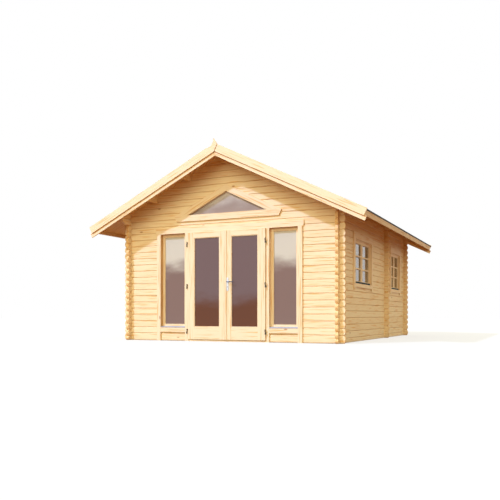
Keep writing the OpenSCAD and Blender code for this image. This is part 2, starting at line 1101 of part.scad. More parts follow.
module window_frames() {
    color("wheat")
        on_right_wall()
            for (w = windows)
                difference() {
                    box([w[0] + fit, 0, window_z + fit], [w[1] - fit, frame_depth, window_top - fit]);
                    box(
                        [w[0] + window_frame_w, -1, window_z + window_sill_h],
                        [w[1] - window_frame_w, frame_depth + 1, window_top - window_frame_w]
                    );
                }
}

// The two casements of a window as their starts and ends along the wall
function casements(w) =
    let (middle = (w[0] + w[1]) / 2, in = window_frame_w + fit)
    [[w[0] + in, middle - fit], [middle + fit, w[1] - in]];

module window_sashes() {
    color("wheat")
        on_right_wall()
            for (w = windows)
                for (c = casements(w))
                    ring([c[0], sash_low], [c[1], sash_high], sash_w, window_sash_y, window_sash_y + sash_t);
}

module window_glass() {
    in = sash_w + fit;
    y = window_sash_y + pane_set;
    color("slategray", 0.6)
        on_right_wall()
            for (w = windows)
                for (c = casements(w))
                    box([c[0] + in, y, sash_low + in], [c[1] - in, y + glass_t, sash_high - in]);
}

// Weather bars whose tops fall outwards, in front of the sashes' lower rails
module window_drips() {
    z = window_z + window_sill_h + fit;
    front = window_sash_y - window_drip_t;
    back = window_sash_y - fit;
    color("darkslategray")
        on_right_wall()
            for (w = windows)
                bar(
                    w[0] + window_frame_w + fit, w[1] - window_frame_w - fit,
                    [
                        [front, z],
                        [back, z],
                        [back, z + window_drip_h],
                        [front, z + window_drip_h - window_drip_t / 2]
                    ]
                );
}

front_left_logs();
front_right_logs();
front_gable_logs();
left_wall_logs();
right_wall_logs();
inner_wall_logs();
back_wall_logs();
floor_bearers();
front_room_floor();
back_room_floor();
eaves_plates();
purlins();
ridge_purlin();
left_roof_boards();
right_roof_boards();
left_felt();
right_felt();
front_bargeboards();
back_bargeboards();
lower_bargeboards();
eaves_boards();
door_posts();
front_jambs();
door_stops();
threshold();
front_casing();
sidelight_sills();
sidelight_drips();
sidelight_sashes();
sidelight_glass();
left_leaf();
left_glass();
left_hinges();
right_leaf();
right_glass();
right_hinges();
cover_strip();
frame_hinges();
handle_plates();
handle_lever();
gable_casing();
gable_frame();
gable_glass();
window_casings();
window_frames();
window_sashes();
window_glass();
window_drips();
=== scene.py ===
"""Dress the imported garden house: planed spruce, felt, panes, fittings, light and camera."""

import logging
import math
from collections.abc import Callable, Iterator
from contextlib import contextmanager
from dataclasses import dataclass
from enum import Enum
from typing import Optional, Union

import bpy
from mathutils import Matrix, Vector


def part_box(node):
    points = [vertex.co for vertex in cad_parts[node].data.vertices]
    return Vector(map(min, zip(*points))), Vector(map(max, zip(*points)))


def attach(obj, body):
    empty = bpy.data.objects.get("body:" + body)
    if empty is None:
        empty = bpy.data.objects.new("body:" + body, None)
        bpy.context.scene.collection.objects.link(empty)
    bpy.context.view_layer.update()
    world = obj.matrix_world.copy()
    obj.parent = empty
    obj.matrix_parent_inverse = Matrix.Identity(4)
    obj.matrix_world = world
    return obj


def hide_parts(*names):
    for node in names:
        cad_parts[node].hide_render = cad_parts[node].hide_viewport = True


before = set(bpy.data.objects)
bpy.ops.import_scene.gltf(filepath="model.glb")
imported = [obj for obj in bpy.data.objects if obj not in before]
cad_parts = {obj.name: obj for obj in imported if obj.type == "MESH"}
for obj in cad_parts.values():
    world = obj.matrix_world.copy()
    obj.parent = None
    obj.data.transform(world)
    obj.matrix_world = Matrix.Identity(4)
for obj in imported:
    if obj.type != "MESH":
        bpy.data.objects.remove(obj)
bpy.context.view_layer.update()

LOG = logging.getLogger("garden_house")
MM = 0.001
# Gap in metres that keeps a new piece clear of the one that it lies on
SLIP = 0.2 * MM
# Fibres run on for 25 times the width of a streak
SQUEEZE = 0.04
# Inputs and output of a Mix node for colours, and for vectors
COLOUR_A, COLOUR_B, COLOUR_OUT = 6, 7, 2
VECTOR_A, VECTOR_B, VECTOR_OUT = 4, 5, 1
HOUSE = "house"
LEFT_DOOR = "left_door"
RIGHT_DOOR = "right_door"
# Short names of types
Triple = tuple[float, float, float]
Tree = bpy.types.NodeTree
Node = bpy.types.Node
Socket = bpy.types.NodeSocket
Material = bpy.types.Material
Piece = bpy.types.Object
# Slopes of the roof, with the sign of X on them
SIDES = (("right", 1), ("left", -1))


def linear(hex_colour: str) -> tuple[float, float, float, float]:
    """Turn an sRGB hex colour into linear RGBA.

    Args:
        hex_colour: Six hex digits with a leading hash.

    Returns:
        The linear colour with an alpha of 1.
    """
    parts = [int(hex_colour[i : i + 2], 16) / 255 for i in (1, 3, 5)]
    red, green, blue = (c / 12.92 if c <= 0.04045 else ((c + 0.055) / 1.055) ** 2.4 for c in parts)
    return (red, green, blue, 1.0)


def add_node(
    tree: Tree,
    kind: str,
    settings: Optional[dict[str, object]] = None,
    inputs: Optional[dict[Union[int, str], object]] = None,
) -> Node:
    """Add a shader node with its settings, and set or link its inputs.

    Args:
        tree: The tree that gets the node.
        kind: The node's type name without its ShaderNode.
        settings: Properties of the node.
        inputs: Values, sockets or nodes by input name or number; a node gives its first output.

    Returns:
        The new node.
    """
    node = tree.nodes.new(f"ShaderNode{kind}")
    for key, value in (settings or {}).items():
        setattr(node, key, value)
    for key, value in (inputs or {}).items():
        source = value.outputs[0] if isinstance(value, Node) else value
        if isinstance(source, Socket):
            tree.links.new(source, node.inputs[key])
        else:
            node.inputs[key].default_value = source
    return node


def start_material(name: str) -> tuple[Material, Tree, Socket]:
    """Start a material with an empty tree.

    Args:
        name: Name of the real material and of how its surface was made.

    Returns:
        The material, its tree and the Object coordinates.
    """
    material = bpy.data.materials.new(name)
    material.use_nodes = True
    tree = material.node_tree
    tree.nodes.clear()
    return material, tree, add_node(tree, "TexCoord").outputs["Object"]


class GrainRun(Enum):
    """Direction in which the fibres of a piece run, as scales that squeeze that direction."""

    ALONG_X = (SQUEEZE, 1.0, 1.0)
    ALONG_Y = (1.0, SQUEEZE, 1.0)
    ALONG_Z = (1.0, 1.0, SQUEEZE)

    @property
    def axis(self) -> int:
        """Give the number of the coordinate along the fibres, 0 to 2."""
        return self.value.index(SQUEEZE)


@dataclass(frozen=True)
class Courses:
    """Rows of logs or boards, each with a tone and a pattern of its own.

    Attributes:
        axis: Coordinate across the rows, 0 to 2.
        start: Place of a row line in metres.
        pitch: Width of a row in metres.
    """

    axis: int
    start: float
    pitch: float

    @staticmethod
    def between(axis: int, low: Vector, high: Vector, width: float) -> "Courses":
        """Divide a box into equal rows.

        Args:
            axis: Coordinate across the rows, 0 to 2.
            low: Lowest corner of the box.
            high: Highest corner of the box.
            width: Wished width of a row in metres.

        Returns:
            Rows of nearly that width that fill the box.
        """
        span = high[axis] - low[axis]
        return Courses(axis, low[axis], span / round(span / width))


@dataclass(frozen=True)
class CrossZone:
    """Part of a piece in which the boards run the other way.

    Attributes:
        axis: Coordinate that bounds the zone, 0 to 2, taken without its sign.
        low: Lower bound in metres.
        high: Upper bound in metres.
        run: Grain direction inside the bounds.
    """

    axis: int
    low: float
    high: float
    run: GrainRun

    def inside(self, tree: Tree, place: Socket) -> Node:
        """Tell whether a point lies in the zone.

        Args:
            tree: The material's tree.
            place: Object coordinates.

        Returns:
            A node that gives 1 inside and 0 outside.
        """
        parts = add_node(tree, "SeparateXYZ", inputs={0: place})
        size = add_node(tree, "Math", {"operation": "ABSOLUTE"}, {0: parts.outputs[self.axis]})
        above = add_node(tree, "Math", {"operation": "GREATER_THAN"}, {0: size, 1: self.low})
        below = add_node(tree, "Math", {"operation": "LESS_THAN"}, {0: size, 1: self.high})
        return add_node(tree, "Math", {"operation": "MULTIPLY"}, {0: above, 1: below})


@dataclass(frozen=True)
class Seam:
    """Line in the XZ plane along which a bargeboard is darkened: at the horn an open joint, under the upper
    bargeboards the painted shadow that they cast.

    Attributes:
        across: X and Z parts of the unit vector across the joint.
        start: Place of the joint's middle along that vector in metres.
        half_w: Half width of its shade in metres.
        both_slopes: True where both slopes have it, False where only the horn's side has it.
    """

    across: tuple[float, float]
    start: float
    half_w: float
    both_slopes: bool

    def distance(self, tree: Tree, place: Socket) -> Node:
        """Measure how far a point lies from the joint's middle.

        Args:
            tree: The material's tree.
            place: Object coordinates.

        Returns:
            A node that gives the distance in metres.
        """
        parts = add_node(tree, "SeparateXYZ", inputs={0: place})
        reach = self.across[0]
        if self.both_slopes:
            side = add_node(tree, "Math", {"operation": "ABSOLUTE"}, {0: parts.outputs["X"]})
        else:
            # Seen from in front of either gable, the joint lies to the right of the ridge
            end = add_node(tree, "Math", {"operation": "SIGN"}, {0: parts.outputs["Y"]})
            side = add_node(tree, "Math", {"operation": "MULTIPLY"}, {0: end, 1: parts.outputs["X"]})
            reach = -reach
        level = add_node(tree, "Math", {"operation": "MULTIPLY_ADD"}, {0: side, 1: reach, 2: -self.start})
        away = add_node(
            tree, "Math", {"operation": "MULTIPLY_ADD"},
            {0: parts.outputs["Z"], 1: self.across[1], 2: level},
        )
        return add_node(tree, "Math", {"operation": "ABSOLUTE"}, {0: away})


@dataclass(frozen=True)
class WoodFigure:
    """Figure of planed spruce: how large its streaks, rings and knots are, and how strongly they show.

    Shares are of the second colour, and levels are of the noise.

    Attributes:
        streak_mm: Width of a latewood streak as it is drawn.
        streak_from: Level at which a streak starts.
        streak_full: Level at which it shows in full.
        streak_share: Honey in a full streak.
        ring_mm: Distance between two year rings as they are drawn.
        ring_share: Honey in a ring.
        ring_level: Honey taken off all over, about as much as the rings add.
        row_share: Honey by which two rows may differ.
        row_level: Honey taken off all over where there are rows.
        row_jump: Distance between the patterns of two rows.
        knot_cells: Knots in a metre across the fibres.
        knot_stretch: How much of the squeeze along the fibres a knot undoes.
        knot_heart: Radius of a knot's heart, in cells.
        knot_rim: Radius of its rim, in cells.
        knot_share: The knot's colour in its heart.
        groove_core: Part of a joint's half width that is shaded in full.
        groove_share: The joint's colour there.
        seam_core: Part of a seam's half width that is shaded in full.
        seam_share: The joint's colour there.
        end_from: Part of the normal along the fibres from which a face counts as cut.
        end_full: Part of it at which it is a cut end altogether.
        relief: Strength of the grain's relief.
        relief_mm: Height of the grain's relief.
        smooth: Roughness of the hard latewood.
        rough: Roughness of the soft earlywood.
        ior: Index of refraction of the oiled skin.
    """

    streak_mm: float = 18.0
    streak_from: float = 0.50
    streak_full: float = 0.72
    streak_share: float = 0.80
    ring_mm: float = 4.0
    ring_share: float = 0.30
    ring_level: float = 0.10
    row_share: float = 0.16
    row_level: float = 0.18
    row_jump: float = 37.0
    knot_cells: float = 4.0
    knot_stretch: float = 10.0
    knot_heart: float = 0.025
    knot_rim: float = 0.075
    knot_share: float = 0.75
    groove_core: float = 0.3
    groove_share: float = 0.6
    seam_core: float = 0.5
    seam_share: float = 0.85
    end_from: float = 0.35
    end_full: float = 0.9
    relief: float = 0.25
    relief_mm: float = 0.6
    smooth: float = 0.52
    rough: float = 0.68
    ior: float = 1.45


FIGURE = WoodFigure()


@dataclass(frozen=True)
class PlanedSpruce:
    """Planed spruce: pale straw wood with honey latewood streaks, small knots and darker cut ends.

    Attributes:
        name: Material name.
        run: Main grain direction.
        pale: Colour of the earlywood.
        honey: Colour of the latewood streaks.
        knot: Colour of a knot's heart.
        joint: Colour painted along a joint: the shade in the groove between two rows or boards, and the
            darkening along a seam.
        slope: Angle in radians by which the fibres fall from the ridge, or 0.
        courses: Rows that differ in tone.
        zone: Part whose boards run the other way.
        groove_mm: Half width of the painted shade in the groove between two rows.
        end_tint: Tint of cut ends, whose open pores drink the oil, or None where no end shows.
        seam: Line along which the wood is darkened: an open joint at the horn, painted shadow under the upper
            bargeboards.
    """

    name: str
    run: GrainRun
    pale: str = "#F2DAB2"
    honey: str = "#E2AE66"
    knot: str = "#A9682F"
    joint: str = "#C08444"
    slope: float = 0.0
    courses: Optional[Courses] = None
    zone: Optional[CrossZone] = None
    groove_mm: float = 0.0
    end_tint: Optional[str] = None
    seam: Optional[Seam] = None

    def fibre_space(self, tree: Tree, place: Socket) -> Socket:
        """Squeeze the coordinates along the fibres.

        Args:
            tree: The material's tree.
            place: Object coordinates.

        Returns:
            A vector in metres whose fibre direction is squeezed.
        """
        fallen = place
        if self.slope:
            parts = add_node(tree, "SeparateXYZ", inputs={0: place})
            side = add_node(tree, "Math", {"operation": "ABSOLUTE"}, {0: parts.outputs["X"]})
            folded = add_node(
                tree, "CombineXYZ", inputs={0: side, 1: parts.outputs["Y"], 2: parts.outputs["Z"]}
            )
            fallen = add_node(
                tree, "Mapping", inputs={"Vector": folded, "Rotation": (0.0, -self.slope, 0.0)}
            )
        main_run = add_node(tree, "Mapping", inputs={"Vector": fallen, "Scale": self.run.value})
        if self.zone is None:
            return main_run.outputs[0]
        other_run = add_node(tree, "Mapping", inputs={"Vector": place, "Scale": self.zone.run.value})
        mixed = add_node(
            tree, "Mix", {"data_type": "VECTOR"},
            {0: self.zone.inside(tree, place), VECTOR_A: main_run, VECTOR_B: other_run},
        )
        return mixed.outputs[VECTOR_OUT]

    def row_values(self, tree: Tree, place: Socket) -> tuple[Socket, Socket]:
        """Give each log or board its own random number, and find the joints between them.

        Args:
            tree: The material's tree.
            place: Object coordinates.

        Returns:
            The random number from 0 to 1, and the distance to the joint in row widths.
        """
        parts = add_node(tree, "SeparateXYZ", inputs={0: place})
        shifted = add_node(
            tree, "Math", {"operation": "SUBTRACT"},
            {0: parts.outputs[self.courses.axis], 1: self.courses.start},
        )
        rows = add_node(tree, "Math", {"operation": "DIVIDE"}, {0: shifted, 1: self.courses.pitch})
        number = add_node(tree, "Math", {"operation": "FLOOR"}, {0: rows})
        random = add_node(tree, "TexWhiteNoise", {"noise_dimensions": "1D"}, {"W": number})
        joint = add_node(tree, "Math", {"operation": "PINGPONG"}, {0: rows, 1: 0.5})
        return random.outputs["Value"], joint.outputs[0]

    def figured(self, tree: Tree, fibre: Socket, row: Optional[Socket]) -> tuple[Socket, Node, Node]:
        """Colour the wood by its streaks, rings and knots.

        Args:
            tree: The material's tree.
            fibre: Coordinates squeezed along the fibres.
            row: Random number of each row, or None where the piece has no rows.

        Returns:
            The colour, the grain and the rings.
        """
        # Latewood streaks, drawn wider than they are so that they show in the picture
        streaks = add_node(
            tree, "TexNoise",
            inputs={"Vector": fibre, "Scale": 1.0 / (FIGURE.streak_mm * MM), "Detail": 2.0, "Roughness": 0.5},
        )
        streak = add_node(
            tree, "MapRange", {"interpolation_type": "SMOOTHSTEP"},
            {
                "Value": streaks.outputs["Fac"], "From Min": FIGURE.streak_from,
                "From Max": FIGURE.streak_full, "To Max": FIGURE.streak_share,
            },
        )
        # Year rings, drawn coarser than they are and still too fine to show: they break up the streaks
        rings = add_node(
            tree, "TexNoise",
            inputs={"Vector": fibre, "Scale": 1.0 / (FIGURE.ring_mm * MM), "Detail": 2.0, "Roughness": 0.6},
        )
        grain = add_node(
            tree, "Math", {"operation": "MULTIPLY_ADD"},
            {0: rings.outputs["Fac"], 1: FIGURE.ring_share, 2: streak},
        )
        warm, level = grain, FIGURE.ring_level
        if row is not None:
            warm = add_node(
                tree, "Math", {"operation": "MULTIPLY_ADD"}, {0: row, 1: FIGURE.row_share, 2: grain}
            )
            level = FIGURE.row_level
        share = add_node(tree, "Math", {"operation": "SUBTRACT", "use_clamp": True}, {0: warm, 1: level})
        wood = add_node(
            tree, "Mix", {"data_type": "RGBA"},
            {0: share, COLOUR_A: linear(self.pale), COLOUR_B: linear(self.honey)},
        )
        # Knots of about 25 mm, one in 0.25 m across the fibres and in 0.6 m along them
        stretch = [1.0, 1.0, 1.0]
        stretch[self.run.axis] = FIGURE.knot_stretch
        stretched = add_node(tree, "Mapping", inputs={"Vector": fibre, "Scale": stretch})
        cells = add_node(
            tree, "TexVoronoi", {"feature": "F1"}, {"Vector": stretched, "Scale": FIGURE.knot_cells}
        )
        heart = add_node(
            tree, "MapRange", {"interpolation_type": "SMOOTHSTEP"},
            {
                "Value": cells.outputs["Distance"], "From Min": FIGURE.knot_heart,
                "From Max": FIGURE.knot_rim, "To Min": FIGURE.knot_share, "To Max": 0.0,
            },
        )
        knotted = add_node(
            tree, "Mix", {"data_type": "RGBA"},
            {0: heart, COLOUR_A: wood.outputs[COLOUR_OUT], COLOUR_B: linear(self.knot)},
        )
        return knotted.outputs[COLOUR_OUT], grain, rings

    def shaded(
        self, tree: Tree, colour: Socket, away: Union[Node, Socket], core: float, rim: float, share: float
    ) -> Socket:
        """Paint shade on the wood along a joint.

        Args:
            tree: The material's tree.
            colour: Colour of the wood.
            away: Distance from the joint's middle.
            core: Distance up to which the shade is full.
            rim: Distance at which it ends.
            share: Share of the joint's colour in its core.

        Returns:
            The colour with its joint.
        """
        depth = add_node(
            tree, "MapRange", {"interpolation_type": "SMOOTHSTEP"},
            {"Value": away, "From Min": core, "From Max": rim, "To Min": share, "To Max": 0.0},
        )
        mixed = add_node(
            tree, "Mix", {"data_type": "RGBA"}, {0: depth, COLOUR_A: colour, COLOUR_B: linear(self.joint)}
        )
        return mixed.outputs[COLOUR_OUT]

    def soaked(self, tree: Tree, colour: Socket) -> Socket:
        """Tint the cut ends.

        Args:
            tree: The material's tree.
            colour: Colour of the wood.

        Returns:
            The colour with its tinted ends.
        """
        facing = add_node(tree, "TexCoord").outputs["Normal"]
        parts = add_node(tree, "SeparateXYZ", inputs={0: facing})
        size = add_node(tree, "Math", {"operation": "ABSOLUTE"}, {0: parts.outputs[self.run.axis]})
        cut = add_node(
            tree, "MapRange", {"interpolation_type": "SMOOTHSTEP"},
            {"Value": size, "From Min": FIGURE.end_from, "From Max": FIGURE.end_full},
        )
        mixed = add_node(
            tree, "Mix", {"data_type": "RGBA", "blend_type": "MULTIPLY"},
            {0: cut, COLOUR_A: colour, COLOUR_B: linear(self.end_tint)},
        )
        return mixed.outputs[COLOUR_OUT]

    def material(self) -> Material:
        """Build the material.

        Returns:
            The finished material.
        """
        mat, tree, place = start_material(self.name)
        fibre = self.fibre_space(tree, place)
        row, joint = self.row_values(tree, place) if self.courses else (None, None)
        if row is not None:
            # Each row takes its pattern from another stretch of the noise
            jump = add_node(tree, "Math", {"operation": "MULTIPLY"}, {0: row, 1: FIGURE.row_jump})
            fibre = add_node(tree, "VectorMath", {"operation": "ADD"}, {0: fibre, 1: jump}).outputs[0]
        colour, grain, rings = self.figured(tree, fibre, row)
        # Painted shade in the groove between two rows
        if self.courses and self.groove_mm:
            rim = self.groove_mm * MM / self.courses.pitch
            colour = self.shaded(tree, colour, joint, FIGURE.groove_core * rim, rim, FIGURE.groove_share)
        # Darkening along a seam: the open joint beside the horn, and the painted shadow under the upper
        # bargeboards
        if self.seam:
            rim = self.seam.half_w
            away = self.seam.distance(tree, place)
            colour = self.shaded(tree, colour, away, FIGURE.seam_core * rim, rim, FIGURE.seam_share)
        if self.end_tint:
            colour = self.soaked(tree, colour)
        # The plane leaves a satin skin: a faint relief along the grain, and hard latewood that shines more
        bump = add_node(
            tree, "Bump",
            inputs={"Strength": FIGURE.relief, "Distance": FIGURE.relief_mm * MM, "Height": grain},
        )
        rough = add_node(
            tree, "MapRange",
            inputs={"Value": rings.outputs["Fac"], "To Min": FIGURE.smooth, "To Max": FIGURE.rough},
        )
        shader = add_node(
            tree, "BsdfPrincipled",
            inputs={"Base Color": colour, "Roughness": rough, "Normal": bump, "IOR": FIGURE.ior},
        )
        add_node(tree, "OutputMaterial", inputs={"Surface": shader})
        return mat


@dataclass(frozen=True)
class RoofFelt:
    """Bitumen roofing felt, strewn with mineral grit.

    Attributes:
        name: Material name.
        dark: Colour between the grains.
        light: Colour of the grains.
        grit_mm: Size of a grain, drawn coarser than it is so that it shows.
        stain_scale: Stains in a metre.
        stain_share: How much the stains lighten the grit.
        spread: Levels between which the dark turns to the light colour.
        relief: Strength of the grit's relief.
        relief_mm: Height of the grit's relief.
        roughness: Roughness of the grit.
    """

    name: str = "bitumen_felt"
    dark: str = "#3A3B3E"
    light: str = "#5C5D60"
    grit_mm: float = 3.0
    stain_scale: float = 1.4
    stain_share: float = 0.35
    spread: tuple[float, float] = (0.40, 0.95)
    relief: float = 0.5
    relief_mm: float = 1.0
    roughness: float = 0.92

    def material(self) -> Material:
        """Build the material.

        Returns:
            The finished material.
        """
        # Grit scatters the light, so that the felt is a dull charcoal with hardly any gloss
        mat, tree, place = start_material(self.name)
        grit = add_node(
            tree, "TexNoise",
            inputs={"Vector": place, "Scale": 1.0 / (self.grit_mm * MM), "Detail": 3.0, "Roughness": 0.7},
        )
        stain = add_node(
            tree, "TexNoise", inputs={"Vector": place, "Scale": self.stain_scale, "Detail": 4.0}
        )
        faint = add_node(
            tree, "Math", {"operation": "MULTIPLY"}, {0: stain.outputs["Fac"], 1: self.stain_share}
        )
        both = add_node(
            tree, "Math", {"operation": "ADD", "use_clamp": True}, {0: grit.outputs["Fac"], 1: faint}
        )
        share = add_node(
            tree, "MapRange",
            inputs={"Value": both, "From Min": self.spread[0], "From Max": self.spread[1]},
        )
        colour = add_node(
            tree, "Mix", {"data_type": "RGBA"},
            {0: share, COLOUR_A: linear(self.dark), COLOUR_B: linear(self.light)},
        )
        bump = add_node(
            tree, "Bump",
            inputs={"Strength": self.relief, "Distance": self.relief_mm * MM, "Height": grit.outputs["Fac"]},
        )
        shader = add_node(
            tree, "BsdfPrincipled",
            inputs={"Base Color": colour.outputs[COLOUR_OUT], "Roughness": self.roughness, "Normal": bump},
        )
        add_node(tree, "OutputMaterial", inputs={"Surface": shader})
        return mat


@dataclass(frozen=True)
class PaneGlass:
    """Float glass whose colour is a painted reflection, paler at its head than at its foot.

    Attributes:
        name: Material name.
        low: Colour at the pane's foot, painted reflection.
        high: Colour at the pane's head, painted reflection.
        z_low: Height at which the lower tint ends, in metres.
        z_high: Height at which the upper tint starts, in metres.
        clear: Share of the light that passes.
        reflection_sway: Height in metres over which the painted reflection wavers.
        coat: Weight of a second mirroring surface, as in double glazing.
        waver: Size of the painted reflection's wavering, as a noise scale.
        roughness: Roughness of the fire-smooth face.
        coat_roughness: Roughness of the second face.
        ior: Index of refraction of soda-lime glass.
    """

    name: str
    low: str
    high: str
    z_low: float
    z_high: float
    clear: float
    reflection_sway: float
    coat: float = 0.0
    waver: float = 2.2
    roughness: float = 0.04
    coat_roughness: float = 0.03
    ior: float = 1.52

    def material(self) -> Material:
        """Build the material.

        Returns:
            The finished material.
        """
        # Glass drawn level on a bath of tin is smooth as a mirror, with sharp glints. Its colour is painted
        # reflection, running from the foot's tone to the head's and wavering like mirrored clouds
        mat, tree, place = start_material(self.name)
        parts = add_node(tree, "SeparateXYZ", inputs={0: place})
        drift = add_node(tree, "Mapping", inputs={"Vector": place, "Scale": (1.0, 1.0, self.waver)})
        soft = add_node(tree, "TexNoise", inputs={"Vector": drift, "Scale": self.waver, "Detail": 4.0})
        wavy = add_node(
            tree, "Math", {"operation": "MULTIPLY_ADD"},
            {0: soft.outputs["Fac"], 1: self.reflection_sway, 2: parts.outputs["Z"]},
        )
        rise = add_node(
            tree, "MapRange", {"interpolation_type": "SMOOTHSTEP"},
            {"Value": wavy, "From Min": self.z_low + self.reflection_sway / 2, "From Max": self.z_high + self.reflection_sway / 2},
        )
        # Painted reflection: the colour runs from the foot's tone to the head's
        tint = add_node(
            tree, "Mix", {"data_type": "RGBA"},
            {0: rise, COLOUR_A: linear(self.low), COLOUR_B: linear(self.high)},
        )
        shader = add_node(
            tree, "BsdfPrincipled",
            inputs={
                "Base Color": tint.outputs[COLOUR_OUT], "Roughness": self.roughness, "IOR": self.ior,
                "Transmission Weight": self.clear, "Coat Weight": self.coat,
                "Coat Roughness": self.coat_roughness,
            },
        )
        add_node(tree, "OutputMaterial", inputs={"Surface": shader})
        return mat


@dataclass(frozen=True)
class Metal:
    """Sheet metal or a cast fitting with fine wear in its gloss.

    Attributes:
        name: Material name.
        colour: Main colour.
        worn: Colour of the rubbed places.
        metallic: 1 for bare metal and 0 for a coat of paint.
        roughness: Lowest roughness.
        gloss: Specular level, 0.5 for a usual coat.
        brush_mm: Spacing of the brush marks, drawn coarser than it is so that they show.
        brush_stretch: Scale along the brush marks, which run along X.
        wear: How much rougher the rubbed places are.
    """

    name: str
    colour: str
    worn: str
    metallic: float
    roughness: float
    gloss: float = 0.5
    brush_mm: float = 2.0
    brush_stretch: float = 0.1
    wear: float = 0.12

    def material(self) -> Material:
        """Build the material.

        Returns:
            The finished material.
        """
        mat, tree, place = start_material(self.name)
        drawn = add_node(tree, "Mapping", inputs={"Vector": place, "Scale": (self.brush_stretch, 1.0, 1.0)})
        brush = add_node(
            tree, "TexNoise", inputs={"Vector": drawn, "Scale": 1.0 / (self.brush_mm * MM), "Detail": 2.0}
        )
        colour = add_node(
            tree, "Mix", {"data_type": "RGBA"},
            {0: brush.outputs["Fac"], COLOUR_A: linear(self.colour), COLOUR_B: linear(self.worn)},
        )
        rough = add_node(
            tree, "MapRange",
            inputs={
                "Value": brush.outputs["Fac"], "To Min": self.roughness, "To Max": self.roughness + self.wear,
            },
        )
        shader = add_node(
            tree, "BsdfPrincipled",
            inputs={
                "Base Color": colour.outputs[COLOUR_OUT], "Roughness": rough, "Metallic": self.metallic,
                "Specular IOR Level": self.gloss,
            },
        )
        add_node(tree, "OutputMaterial", inputs={"Surface": shader})
        return mat


def paint(nodes: list[str], material: Material) -> None:
    """Give CAD nodes a material.

    Args:
        nodes: Names of the nodes.
        material: The material that they wear.
    """
    for name in nodes:
        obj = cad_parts[name]
        obj.data.materials.clear()
        obj.data.materials.append(material)
        LOG.info("%s wears %s", name, material.name)


class Pick(Enum):
    """Parts of a mesh that are picked for an operator."""

    VERTICES = "VERT"
    FACES = "FACE"


